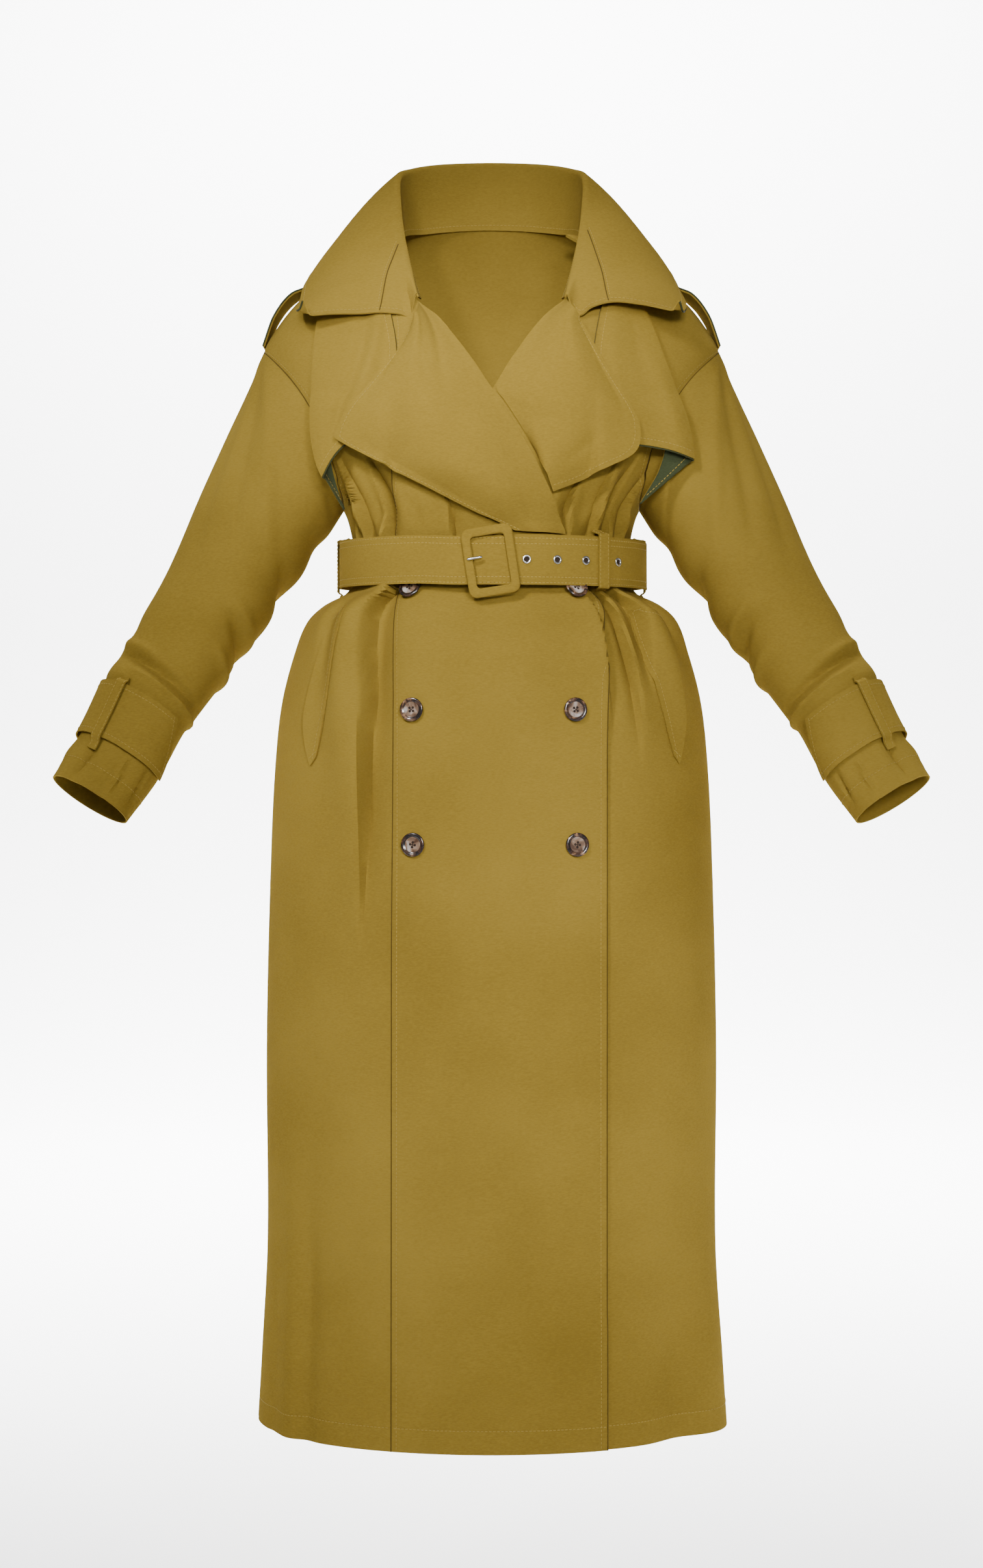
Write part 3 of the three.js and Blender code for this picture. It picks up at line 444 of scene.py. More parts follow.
# The middle of a button, brown with grey flecks.
PALE_HORN = horn_material("pale_horn", (0.24, 0.17, 0.13), 0.25, 0.5, 60.0, 0.5, 1.0, [
    (0.40, (0.07, 0.034, 0.018)), (0.52, (0.22, 0.14, 0.09)), (0.68, (0.46, 0.42, 0.39))])
STEEL = steel_material()


# Stitches: short thread capsules along a line that lies on the cloth

def resample(line, step):
    line = np.asarray(line, float)
    along = np.concatenate([[0], np.cumsum(np.linalg.norm(np.diff(line, axis=0), axis=1))])
    count = max(2, int(along[-1] / step) + 1)
    at = np.linspace(0, along[-1], count)
    return np.stack([np.interp(at, along, line[:, k]) for k in range(3)], 1)


CAPSULE_SIDES = 4
CAPSULE_RINGS = ((-0.5, 0.35), (-0.32, 1.0), (0.32, 1.0), (0.5, 0.35))


def stitch_mesh(line, normals):
    """Points and faces of one line of stitches; normals point away from the cloth."""
    line = np.asarray(line, float)
    along = np.concatenate([[0], np.cumsum(np.linalg.norm(np.diff(line, axis=0), axis=1))])
    at = np.arange(STITCH_STEP, along[-1] - STITCH_STEP / 2, STITCH_STEP)
    if len(at) < 2:
        return np.zeros((0, 3)), []
    read = lambda values, s: np.stack([np.interp(s, along, values[:, k]) for k in range(3)], -1)
    run = normalized(read(line, at + 1) - read(line, at - 1))
    up = read(np.asarray(normals, float), at)
    up = normalized(up - run * (up * run).sum(-1, keepdims=True))
    side = np.cross(run, up)
    turns = np.arange(CAPSULE_SIDES) * 2 * np.pi / CAPSULE_SIDES
    points = []
    for place, size in CAPSULE_RINGS:
        for turn in turns:
            sink = (1 - size) * THREAD * 0.9
            points.append(read(line, at) + run * place * STITCH_LENGTH - up * sink
                          + (side * math.cos(turn) * 1.2 + up * math.sin(turn)) * THREAD * size)
    points = np.stack(points, 1)
    n, rings = CAPSULE_SIDES, len(CAPSULE_RINGS)
    faces = [[r * n + i, r * n + (i + 1) % n, (r + 1) * n + (i + 1) % n, (r + 1) * n + i]
             for r in range(rings - 1) for i in range(n)]
    caps = [list(range(n))[::-1], [(rings - 1) * n + i for i in range(n)]]
    size = rings * n
    every = [[k * size + i for i in face] for k in range(len(at)) for face in faces + caps]
    return points.reshape(-1, 3), every


def stitches(name, lines):
    """Joins lines of stitches, each a pair of points and normals, into one piece."""
    points, faces, count = [], [], 0
    for line, normals in lines:
        p, f = stitch_mesh(line, normals)
        points.append(p)
        faces += [[i + count for i in face] for face in f]
        count += len(p)
    loose(new_object(name, np.concatenate(points), faces, THREAD_OLIVE, 80))


def thread_piece(name, lines, radius, material, sides=8):
    """Round threads along lines, joined into one piece."""
    points, faces, count = [], [], 0
    turns = np.linspace(0, 2 * np.pi, sides, endpoint=False)
    for line in lines:
        run = normalized(np.gradient(line, axis=0))
        side = normalized(np.cross(run, [0.31, 0.22, 0.93]))
        up = np.cross(side, run)
        grid = np.stack([line + (side * math.cos(t) + up * math.sin(t)) * radius for t in turns], 1)
        index = np.arange(len(line) * sides).reshape(-1, sides) + count
        faces += round_quads(index).tolist()
        faces += [index[0, ::-1].tolist(), index[-1].tolist()]
        points.append(grid.reshape(-1, 3))
        count += grid.size // 3
    loose(new_object(name, np.concatenate(points), faces, material, None))


def inset_line(grid, normals, side, inset, lift=0.15):
    """A line on a grid that keeps one distance from its first or last row or column."""
    swap = side in ("first_row", "last_row")
    g = np.swapaxes(grid, 0, 1) if swap else grid
    n = np.swapaxes(normals, 0, 1) if swap else normals
    if side in ("last_row", "last_column"):
        g, n = g[:, ::-1], n[:, ::-1]
    steps = np.linalg.norm(np.diff(g, axis=1), axis=2)
    reach = np.concatenate([np.zeros((len(g), 1)), np.cumsum(steps, axis=1)], axis=1)
    points, ups = [], []
    for i in range(len(g)):
        if reach[i, -1] <= inset * 1.05:
            continue
        j = int(np.searchsorted(reach[i], inset, "right")) - 1
        t = (inset - reach[i, j]) / (reach[i, j + 1] - reach[i, j])
        up = normalized(mix(n[i, j], n[i, j + 1], t))
        points.append(mix(g[i, j], g[i, j + 1], t) + up * lift)
        ups.append(up)
    return np.array(points), np.array(ups)


# Body panels

ROLL_LINES = {
    "right": Table(["z", "x"], [
        [-350, 80], [-333, 76], [-300, 65], [-262, 48], [-224, 26], [-184, 0], [-157, -17], [-124, -41],
        [-105, -56], [-88, -76], [-60, -84], [-30, -90], [-4, -97]]),
    "left": Table(["z", "x"], [
        [-350, -80], [-300, -65], [-262, -48], [-224, -26], [-181, 3], [-156, 19], [-129, 36],
        [-105, 56], [-88, 76], [-60, 84], [-30, 90], [-4, 97]]),
}
ROLL_FOOT_Z = -350.0


def front_edge(side, z):
    roll = angle_at(ROLL_LINES[side].at("x", z), z)
    out = mix(80, OVERLAP_X, smooth(-z, -ROLL_FOOT_Z, -ROLL_FOOT_Z + 60)) if side == "right" else -80
    return np.where(z > ROLL_FOOT_Z, roll, angle_at(out, z))


def seam_angle(z):
    out = FRONT_SEAM_X + 30 * smooth(z, -120, -20)
    return np.maximum(-angle_at(out, z), -side_angle(z) + 1.5)


def right_lift(angle):
    return OVERLAP_LIFT * smooth(angle, -76, -50)


def panel_grid(levels, start, end, columns, lift=lambda angle: 0.0, holds=()):
    """A panel between two edges. Each hold keeps a column, by its share, at one angle at all levels."""
    end = np.maximum(end, start + 0.6)
    share = np.linspace(0, 1, columns)
    knots = [0.0, *(at for at, _ in holds), 1.0]
    angle = np.stack([np.interp(share, knots, [low, *(hold for _, hold in holds), high])
                      for low, high in zip(start, end)])
    return body(angle, levels[:, None] + 0 * angle, lift(angle))


def raised(grid, distance):
    return grid + grid_normals(grid) * distance


def make_body():
    lines = []
    z = LEVELS
    half_seam = seam_gap(z)
    back = panel_grid(z, 180 - side_angle(z) + half_seam, 180 + side_angle(z) - half_seam, 150,
                      holds=((0.2, 127.0), (0.8, 233.0)))
    cloth_piece("back_panel", "back", back, 0, CLOTH, TWILL)
    sides = z[z <= -24]
    gap = seam_gap(sides)
    side = panel_grid(sides, -side_angle(sides) + gap, seam_angle(sides) - gap, 86, right_lift)
    cloth_piece("front_right_side_panel", "front_right_side", side, 0, CLOTH, TWILL)
    over = panel_grid(z, seam_angle(z) + half_seam, front_edge("right", z), 90, right_lift)
    cloth_piece("front_right_overlap_panel", "front_right_overlap", over, 0, CLOTH, TWILL)
    left = panel_grid(z, front_edge("left", z), side_angle(z) - half_seam, 150, holds=((0.7, 54.0),))
    cloth_piece("front_left_panel", "front_left", left, 0, CLOTH, TWILL)

    over_out, left_out, back_out, side_out = (raised(g, CLOTH) for g in (over, left, back, side))
    skirt = z < BELT_Z + 20
    for grid, edge, inset, rows in (
            (over_out, "first_column", STITCH_IN * 0.8, z < 0), (over_out, "last_column", STITCH_IN, skirt)):
        part = grid[rows]
        lines.append(inset_line(part, grid_normals(part), edge, inset))
    for grid in (over_out, left_out, back_out, side_out):
        lines.append(inset_line(grid[:30], grid_normals(grid[:30]), "first_row", 24))
    arm = (z >= UNDERARM_Z) & (z <= SHOULDER_TIP_Z)
    side_arm = (sides >= UNDERARM_Z) & (sides <= SHOULDER_TIP_Z)
    for grid, edge in ((left_out, "last_column"), (back_out, "first_column"), (back_out, "last_column")):
        part = grid[arm]
        lines.append(inset_line(part, grid_normals(part), edge, STITCH_IN))
    part = side_out[side_arm]
    lines.append(inset_line(part, grid_normals(part), "first_column", STITCH_IN))
    stitches("body_stitching", lines)
    # Dark tubes along the seams, painted as the shadow in their grooves.
    seam_shadow_lines = [over_out[:, 0], left_out[arm, -1], side_out[side_arm, 0]]
    seam_shadow_lines += [left_out[z <= UNDERARM_Z, -1], side_out[sides <= UNDERARM_Z, 0]]
    seam_shadow_lines += [back_out[arm, 0], back_out[arm, -1], over_out[skirt, -1]]
    thread_piece("body_seam_shadows", [resample(line, 3.0) for line in seam_shadow_lines], SEAM_SHADOW_RADIUS, SEAM_SHADOW)


# Sleeves

SLEEVE = Table(["down", "x", "y", "z", "wide", "deep", "lean"], [
    [0, 228, -3, -262, 158, 138, 0], [0.22, 251, -8, -312, 141, 130, 4],
    [0.42, 294, -22, -394, 121, 115, 11], [0.62, 334, -44, -458, 109, 101, 17],
    [0.76, 360, -62, -500, 103, 94, 19], [0.8, 366, -66, -512, 98, 88, 19],
    [0.92, 390, -82, -563, 94, 80, 20], [1, 417, -101, -606, 90, 66, 20],
])
SLEEVE_SLOPE = 31.0
SLEEVE_FOLDS = [
    [0.7, 60, 0.035, 60, -6], [0.5, 150, 0.05, 50, -6], [0.34, 170, 0.04, 55, -6],
    [0.2, 190, 0.05, 45, -5], [0.62, 320, 0.04, 60, -5], [0.96, 100, 0.05, 16, -3],
    [0.96, 60, 0.05, 12, -3],
]
ARMHOLE_GAP = 0.06
# Fine creases of a sleeve: both ends (share down the arm, degrees round), the half width and the height.
SLEEVE_CREASES = [
    [0.02, 20, 0.3, 80, 7, -3.4], [0.02, 35, 0.26, 110, 6, 2.6], [0.05, 8, 0.36, 50, 9, -2.6],
    [0.7, 20, 0.73, 170, 5, -3.4], [0.66, 10, 0.69, 110, 6, 2.8], [0.74, 60, 0.77, 200, 4, 2.4],
    [0.46, 120, 0.55, 200, 7, -3], [0.42, 110, 0.5, 205, 7, 2.6], [0.56, 130, 0.63, 210, 6, 2.6],
    [0.28, 130, 0.38, 215, 8, -3], [0.2, 300, 0.42, 250, 9, -3], [0.5, 240, 0.6, 320, 7, -2.8],
    [0.93, 60, 0.985, 56, 3, -2.6], [0.93, 105, 0.99, 112, 3, 2.4], [0.93, 140, 0.98, 150, 3, -2.6],
    [0.93, 20, 0.98, 14, 3, 2], [0.93, 240, 0.98, 250, 3, -2.4], [0.72, 330, 0.76, 250, 5, -2.6],
    [0.1, 260, 0.3, 215, 8, -3.2], [0.06, 285, 0.26, 240, 7, 2.6],
]
ARM_LENGTH = 400.0
CREASE_DEPTH = 1.6


def crease_height(creases, u, v, u_size, v_size):
    """Soft troughs and ridges along short lines of a surface measured u by v."""
    height = np.zeros(np.broadcast(u, v).shape)
    for u0, v0, u1, v1, width, size in creases:
        du, dv = (u1 - u0) * u_size, (v1 - v0) * v_size
        pu, pv = (u - u0) * u_size, (v - v0) * v_size
        t = (pu * du + pv * dv) / (du * du + dv * dv)
        inside = np.clip(t, 0, 1)
        away2 = (pu - inside * du) ** 2 + (pv - inside * dv) ** 2
        taper = np.sin(np.pi * np.clip(inside * 0.9 + 0.05, 0, 1)) ** 0.5
        height += size * taper * np.exp(-away2 / width ** 2)
    return height


def sleeve_point(down, around, lift=0.0, fine=True):
    down, around, lift = np.broadcast_arrays(np.asarray(down, float), np.asarray(around, float), lift)
    lean, slope = np.radians(SLEEVE.at("lean", down)), math.radians(SLEEVE_SLOPE)
    run = np.stack([-math.sin(slope) * np.cos(lean), -np.sin(lean), -math.cos(slope) * np.cos(lean)], -1)
    across = np.array([math.cos(slope), 0, -math.sin(slope)])
    through = normalized(np.cross(across, run))
    through = np.where(through[..., 1:2] > 0, -through, through)
    out = lift.astype(float)
    for at, place, length, spread, height in SLEEVE_FOLDS:
        out = out + height * np.exp(-((down - at) / length) ** 2 - (turned(around - place) / spread) ** 2)
    if fine:
        out = out + CREASE_DEPTH * crease_height(SLEEVE_CREASES, down, around % 360, ARM_LENGTH, 1.0)
    turn = np.radians(around)[..., None]
    middle = np.stack([-SLEEVE.at("x", down), SLEEVE.at("y", down), SLEEVE.at("z", down)], -1)
    wide, deep = ((SLEEVE.at(name, down) / 2 + out)[..., None] for name in ("wide", "deep"))
    return middle - across * np.cos(turn) * wide + through * np.sin(turn) * deep


def mirrored(grid):
    return (grid * [-1, 1, 1])[::-1]


def sleeve_grid():
    levels = LEVELS[(LEVELS >= UNDERARM_Z - 1e-6) & (LEVELS <= SHOULDER_TIP_Z + 1e-6)]
    z = np.concatenate([levels[::-1], levels[1:-1]])
    angle = np.concatenate([-side_angle(levels[::-1]), side_angle(levels[1:-1]) - 180])
    turn = np.arccos(np.clip((z - ARM_MIDDLE) / ARM_REACH, -1, 1))
    front = np.arange(len(z)) < len(levels)
    around = np.degrees(np.where(front, turn, 2 * np.pi - turn))
    to_hole = np.where(np.abs(angle + 90) < 0.1, 0, np.sign(-90 - angle) * ARMHOLE_GAP)
    upward = np.where(z <= UNDERARM_Z + 0.01, 0.6, np.where(z >= SHOULDER_TIP_Z - 0.01, -0.3, 0))
    head = body(angle + to_hole, z, CLOTH + 0.4)
    head = head + np.stack([np.full(len(z), -0.3), np.zeros(len(z)), upward], -1)
    rows = [head]
    start = sleeve_point(0.0, around, fine=False)
    for down in np.concatenate([np.linspace(0.012, 0.3, 44), np.linspace(0.306, 1, 110)]):
        target = sleeve_point(down, around)
        rows.append(mix(head + target - start, target, smooth(down, -0.05, 0.3)))
    return np.stack(rows)[::-1]


def make_sleeves():
    right = sleeve_grid()
    for side, grid in (("right", right), ("left", mirrored(right))):
        cloth_piece(f"sleeve_cloth_{side}", f"sleeve_{side}", grid, -CLOTH, 0, TWILL, closed=True)
        normals = grid_normals(grid, closed=True)
        cuff = inset_line(grid, normals, "first_row" if side == "right" else "last_row", 25)
        close = [np.concatenate([part, part[:1]]) for part in cuff]
        stitches(f"sleeve_stitching_{side}", [close])


# Curves through points

def catmull(points, shares):
    """A smooth curve through points, read at shares of its parameter from 0 to 1."""
    points = np.asarray(points, float)
    count = len(points)
    padded = np.concatenate([2 * points[:1] - points[1:2], points, 2 * points[-1:] - points[-2:-1]])
    place = np.clip(np.asarray(shares, float), 0, 1) * (count - 1)
    i = np.minimum(place.astype(int), count - 2)
    t = (place - i)[..., None]
    p0, p1, p2, p3 = (padded[i + k] for k in range(4))
    return 0.5 * (2 * p1 + (p2 - p0) * t + (2 * p0 - 5 * p1 + 4 * p2 - p3) * t ** 2
                  + (3 * p1 - p0 - 3 * p2 + p3) * t ** 3)


# Collar

COLLAR_COLUMNS = ["seamX", "seamY", "seamZ", "rollX", "rollY", "rollZ", "edgeX", "edgeY", "edgeZ", "bulge"]
COLLAR = np.array([
    [0, 64.6, 18, 0, 84, 100, 0, 126, 14, 12], [42, 57.5, 15, 54, 74, 96, 66, 121, 10, 12],
    [75, 38, 8, 86, 52, 86, 126, 96, -4, 13], [92, 10, 1, 99, 22, 72, 172, 50, -26, 13],
    [94, -10, -8, 98, -8, 36, 193, 8, -42, 13], [89, -36, -28, 94, -34, 0, 201, -32, -66, 12],
    [82, -62, -57, 86, -66, -42, 203, -68, -90, 10], [73.5, -88, -84, 76, -103, -84, 197, -109, -103, 5],
], float)
COLLAR_STEPS = 180
LEAF_ROWS = 44
LEAF_TOP = 0.05  # the share of the fall at which its rows start
STAND_FOOT = 0.02
LEAF_OFFSET = 1.4
# How far the leaf's front edge hangs below the straight line from its fold to its corner.
LEAF_DROOP = {
    "right": Table(["v", "drop"], [
        [0, 0], [0.05, 20], [0.15, 18], [0.3, 15], [0.45, 14], [0.7, 9], [0.96, 3], [1, -3]]),
    "left": Table(["v", "drop"], [[0, 0], [0.1, 20], [0.2, 11], [0.37, 3], [0.6, 1], [0.9, 0], [1, -3]]),
}


def collar_line(name, u):
    first = COLLAR_COLUMNS.index(f"{name}X")
    half = COLLAR[:, first:first + 3]
    return catmull(np.concatenate([half[::-1] * [-1, 1, 1], half[1:]]), u)


def leaf_points(u, v):
    """The fall of the collar, from its fold (v of 0) to its edge."""
    roll, edge = collar_line("roll", u), collar_line("edge", u)
    end = np.abs(u - 0.5) * 2
    bulge = np.interp(end * (len(COLLAR) - 1), np.arange(len(COLLAR)), COLLAR[:, -1])
    middle = roll + (edge - roll) * v[..., None]
    away = normalized(normalized(middle * [1, 1, 0]) + [0, 0, 0.8])
    wave = 1.6 * np.sin(u * 43) * smooth(end, 0.45, 0.9) * (1 - smooth(end, 0.9, 1)) * v ** 2
    middle = middle + away * (bulge * 4 * v * (1 - v) + LEAF_OFFSET + wave)[..., None]
    drop = np.where(u < 0.5, LEAF_DROOP["right"].at("drop", v), LEAF_DROOP["left"].at("drop", v))
    corner = 9 * smooth(v, 0.9, 1) * smooth(end, 0.97, 1)
    middle[..., 2] += corner - drop * smooth(end, 0.88, 1)
    middle += (roll - edge) * (0.03 * smooth(end, 0.96, 1) * smooth(v, 0.86, 1))[..., None]
    return middle


def collar_grid():
    """The collar's outer cloth: up the inside of the stand, over the fold and down the fall."""
    u = np.linspace(0, 1, COLLAR_STEPS)[None]
    seam, roll = collar_line("seam", u), collar_line("roll", u)
    stand_v = np.linspace(STAND_FOOT, 0.93, 26)[:, None, None]
    stand = seam + (roll - seam) * stand_v
    inward = -normalized(roll * [1, 1, 0])
    stand = stand + inward * 0.8
    leaf = leaf_points(u, np.linspace(LEAF_TOP, 1, LEAF_ROWS)[:, None] + 0 * u)
    low, high = stand[-1], leaf[0]
    crown = mix(low, high, 0.5)
    crown[:, 2] = np.maximum(low[:, 2], high[:, 2]) + 1.2
    t = np.linspace(0, 1, 9)[1:-1, None, None]
    control = 2 * crown - (low + high) / 2
    bend = (1 - t) ** 2 * low + 2 * t * (1 - t) * control + t * t * high
    return np.concatenate([stand, bend, leaf])[::-1]


# The seams of the collar's ends: share along the collar and down the fall, at both ends of the seam.
WING_SEAMS = (((0.111, 0.05), (0.004, 0.30)), ((0.857, 0.05), (0.996, 0.34)))
WING_STITCH = 0.011


def on_leaf(grid, u, v):
    """Values of the fall's rows of a grid at shares of its length and of its depth."""
    column, row = u * (grid.shape[1] - 1), (1 - v) / (1 - LEAF_TOP) * (LEAF_ROWS - 1)
    i = np.minimum(row.astype(int), LEAF_ROWS - 2)
    j = np.minimum(column.astype(int), grid.shape[1] - 2)
    s, t = (row - i)[:, None], (column - j)[:, None]
    return mix(mix(grid[i, j], grid[i, j + 1], t), mix(grid[i + 1, j], grid[i + 1, j + 1], t), s)


def make_collar():
    grid = collar_grid()
    cloth_piece("collar_cloth", ["collar_leaf", "collar_stand"], grid, 0, CLOTH, TWILL)
    out, up = grid, -grid_normals(grid)
    leaf = slice(0, LEAF_ROWS)
    lines = [inset_line(out[leaf], up[leaf], side, STITCH_IN)
             for side in ("first_row", "first_column", "last_column")]
    lines.append(inset_line(out, up, "last_row", STITCH_IN * 0.9))
    share = np.linspace(0, 1, 60)
    seam_shadow_lines = []
    for (u0, v0), (u1, v1) in WING_SEAMS:
        u, v = mix(u0, u1, share), mix(v0, v1, share)
        beside = on_leaf(out, u + WING_STITCH * (1 if u1 < 0.5 else -1), v)
        over = on_leaf(up, u, v)
        seam_shadow_lines.append(on_leaf(out, u, v))
        lines.append((beside + over * 0.15, normalized(over)))
    stitches("collar_stitching", lines)
    # Dark tubes along the wing seams, painted as the shadow in their grooves.
    thread_piece("collar_seam_shadows", [resample(line, 2.5) for line in seam_shadow_lines], SEAM_SHADOW_RADIUS, SEAM_SHADOW)
    # A dark green tube under the collar's lower edge: the lining seen there, and the painted shadow under
    # the edge.
    thread_piece("collar_edge_lining_and_shade", [resample(raised(grid, CLOTH)[0] - [0, 0, 0.4], 3.0)], 1.1, EDGE_LINING_AND_SHADE)


# Lapels and storm flaps, in the front view

CHEST_HALF, CHEST_DEPTH = 246.0, 128.0
CHEST_BLEND = 0.3  # per mm: how sharply what hangs parts from the chest


def over_chest(x, z, lift):
    inward = np.sqrt(1 - (x / CHEST_HALF) ** 2)
    hanging = -CHEST_DEPTH * inward * smooth(-z, 120, 200) * smooth(np.abs(x), 55, 115)
    chest = on_front(x, z, 0, False)[..., 1]
    front = -np.logaddexp(-CHEST_BLEND * chest, -CHEST_BLEND * hanging) / CHEST_BLEND
    return np.stack([x, front - lift, z], -1)


LAPELS = {
    "right": np.array([
        [-76, -90, -80, -118, 5], [-60, -105, -93, -141, 7], [-34, -136, -124, -177, 9],
        [-8, -173, -150, -206, 10], [18, -212, -161, -228, 10], [38, -245, -157, -236, 9],
        [54, -275, -126, -254, 8], [64, -298, -60, -288, 7], [71, -318, -17, -310, 6],
        [75, -326, 2, -318, 5], [76, -331, 24, -329, 4.5]], float),
    "left": np.array([
        [78, -86, 92, -112, 5], [58, -103, 99, -125, 7], [42, -122, 121, -165, 9],
        [28, -142, 148, -208, 9], [13, -165, 153, -224, 6], [5, -183, 152, -240, 4],
        [13, -196, 143, -252, 3], [21, -208, 120, -264, 2], [33, -226, 92, -277, 2],
        [48, -250, 63, -289, 2]], float),
}
LAPEL_BASE = {"right": OVERLAP_LIFT + CLOTH, "left": CLOTH}
LAPEL_RISE = 11.0
LAPEL_STAND = 3.0
LAPEL_SEAT = 1.3
LAPEL_TUCK = 0.75
# Creases of the lapels: share down the fold and across at both ends, half width in mm, height.
LAPEL_CREASES = {
    "right": [[0.02, 0.1, 0.3, 0.3, 7, -2.4], [0.05, 0.45, 0.34, 0.55, 8, 1.8],
              [0.36, 0.12, 0.66, 0.3, 12, 1.6], [0.5, 0.6, 0.62, 0.95, 12, -1.6],
              [0.66, 0.2, 0.92, 0.5, 9, -1.6]],
    "left": [[0.05, 0.5, 0.3, 0.4, 8, -1.6], [0.35, 0.3, 0.7, 0.6, 12, 1.6], [0.6, 0.7, 0.85, 0.7, 8, -1.4]],
}


def lapel_grid(side):
    u = np.linspace(0, 1, 130)
    v = np.linspace(0, 1, 60)
    rows = catmull(LAPELS[side], u)
    fold, edge, proud = rows[:, None, :2], rows[:, None, 2:4], rows[:, None, 4]
    xz = mix(fold, edge, v[None, :, None])
    curl = proud * np.sin(np.pi * np.minimum(v * 1.15, 1)) + LAPEL_RISE * smooth(v, 0, 0.6)
    tuck = 1 - LAPEL_TUCK * smooth(-xz[..., 1], 262, 322)
    lift = LAPEL_BASE[side] + LAPEL_SEAT + (LAPEL_STAND * smooth(v, 0, 0.25) + curl) * tuck
    lift = lift + crease_height(LAPEL_CREASES[side], u[:, None], v[None], 260.0, 130.0)
    grid = over_chest(xz[..., 0], xz[..., 1], lift)
    if side == "right":
        grid = grid[:, ::-1]
    return grid[::-1]


def make_lapels():
    for side in ("right", "left"):
        grid = lapel_grid(side)
        cloth_piece(f"lapel_cloth_{side}", f"lapel_{side}", grid, 0, CLOTH, TWILL)
        out = raised(grid, CLOTH)
        up = grid_normals(out)
        edge = "first_column" if side == "right" else "last_column"
        stitches(f"lapel_stitching_{side}", [inset_line(out, up, edge, STITCH_IN)])


# Rows of a flap: the ends of its face (x, x, z, z), how far out each lies, and the end of its return.
FLAPS = {
    "right": np.array([
        [-112, -177, -78, -84, 7.6, 15, -169, -84, 9.5], [-104, -182, -104, -114, 9, 17, -174, -115, 11.5],
        [-98, -185, -140, -150, 9, 17, -177, -152, 11.5], [-100, -187, -172, -184, 9, 16, -175, -192, 9],
        [-106, -188, -198, -212, 9, 16, -171, -228, 5], [-110, -186, -214, -236, 9, 16, -166, -262, -3],
        [-114, -181, -224, -258, 9, 15, -159, -290, -10],
        [-118, -175, -230, -271, 9, 14, -154, -303, -14]], float),
    "left": np.array([
        [118, 156, -78, -84, 4, 11, 148, -84, 5], [112, 167, -104, -114, 8, 13, 159, -115, 7.5],
        [106, 180, -140, -150, 9, 14, 172, -152, 8.5], [106, 194, -172, -184, 9, 15, 183, -195, 9],
        [108, 204, -200, -211, 9, 17, 183, -230, 6], [110, 208.5, -220, -232, 9, 19, 175, -262, 0],
        [112, 210, -232, -245, 9, 21, 163, -284, -6],
        [114, 210.5, -238, -251, 9, 22, 155, -297, -10]], float),
}
FLAP_FOLD = (3.0, 4.0, -1.0)
FLAP_RETURN = 25  # rows of points in the flap's return
# Soft ridges of the flaps' faces: share down and across at both ends, half width in mm, height.
FLAP_CREASES = {
    "right": [[0.05, 0.1, 0.75, 0.62, 8, 3.6], [0.1, 0.3, 0.98, 0.86, 9, -2.6],
              [0.02, 0.45, 0.5, 0.6, 11, 2], [0.0, 0.02, 0.45, 0.2, 8, -2.4]],
    "left": [[0.0, 0.3, 0.9, 0.2, 12, 1.8], [0.05, 0.62, 0.98, 0.66, 11, -1.8],
             [0.3, 0.85, 0.95, 0.9, 9, 1.6], [0.0, 0.08, 0.5, 0.05, 8, -2]],
}


def flap_grid(side):
    u = np.linspace(0, 1, 90)
    t = np.linspace(0, 1, 46)[None]
    rows = catmull(FLAPS[side], u)[:, None, :]
    x = mix(rows[..., 0], rows[..., 1], t)
    z = mix(rows[..., 2], rows[..., 3], t ** 3)
    lift = mix(rows[..., 4], rows[..., 5], t * t) + 2 * np.sin(t * np.pi * 3) * smooth(-z, 110, 220) * t
    lift = lift + crease_height(FLAP_CREASES[side], u[:, None], t, 170.0, 90.0)
    face = over_chest(x, z, lift)
    fold = face[:, -1]
    sign = np.sign(fold[:, :1])
    back = fold + np.concatenate([-sign * FLAP_FOLD[0], 0 * sign + FLAP_FOLD[1], 0 * sign + FLAP_FOLD[2]], 1)
    tuck = over_chest(rows[:, 0, 6], rows[:, 0, 7], rows[:, 0, 8])
    turn = mix(fold, back, 0.5) + np.concatenate([sign * 1.6, 0 * sign, 0 * sign], 1)
    s = np.linspace(0, 1, FLAP_RETURN + 1)[1:, None, None]
    after = np.swapaxes(mix(back[None], tuck[None], s), 0, 1)
    grid = np.concatenate([face, turn[:, None], back[:, None], after], 1)
    if side == "right":
        grid = grid[:, ::-1]
    return grid[::-1]


def make_flaps():
    for side in ("right", "left"):
        grid = flap_grid(side)
        cloth_piece(f"storm_flap_cloth_{side}", f"storm_flap_{side}", grid, 0, CLOTH, TWILL)
        cloth_piece(f"storm_flap_inside_{side}", f"storm_flap_lining_{side}", grid, -LINING - SEAM, -SEAM,
                    LINING_CLOTH)
        out = raised(grid, CLOTH)
        inside = raised(grid, -LINING - SEAM)
        behind = FLAP_RETURN + 2
        face = slice(behind, None) if side == "right" else slice(None, -behind)
        back = slice(None, behind - 1) if side == "right" else slice(1 - behind, None)
        edge = "last_column" if side == "right" else "first_column"
        part, under = out[:, face], inside[:, back]
        lines = [inset_line(part, grid_normals(part), name, STITCH_IN) for name in (edge, "first_row")]
        lines.append(inset_line(under, -grid_normals(under), "first_row", STITCH_IN))
        stitches(f"storm_flap_stitching_{side}", lines)
        # A dark green tube under the flap's lower edge: the lining seen there, and the painted shadow under
        # the edge.
        shaded_edge = resample(grid[0] - [0, 0, 0.7], 3.0)
        thread_piece(f"storm_flap_edge_lining_and_shade_{side}", [shaded_edge], 1.0, EDGE_LINING_AND_SHADE)


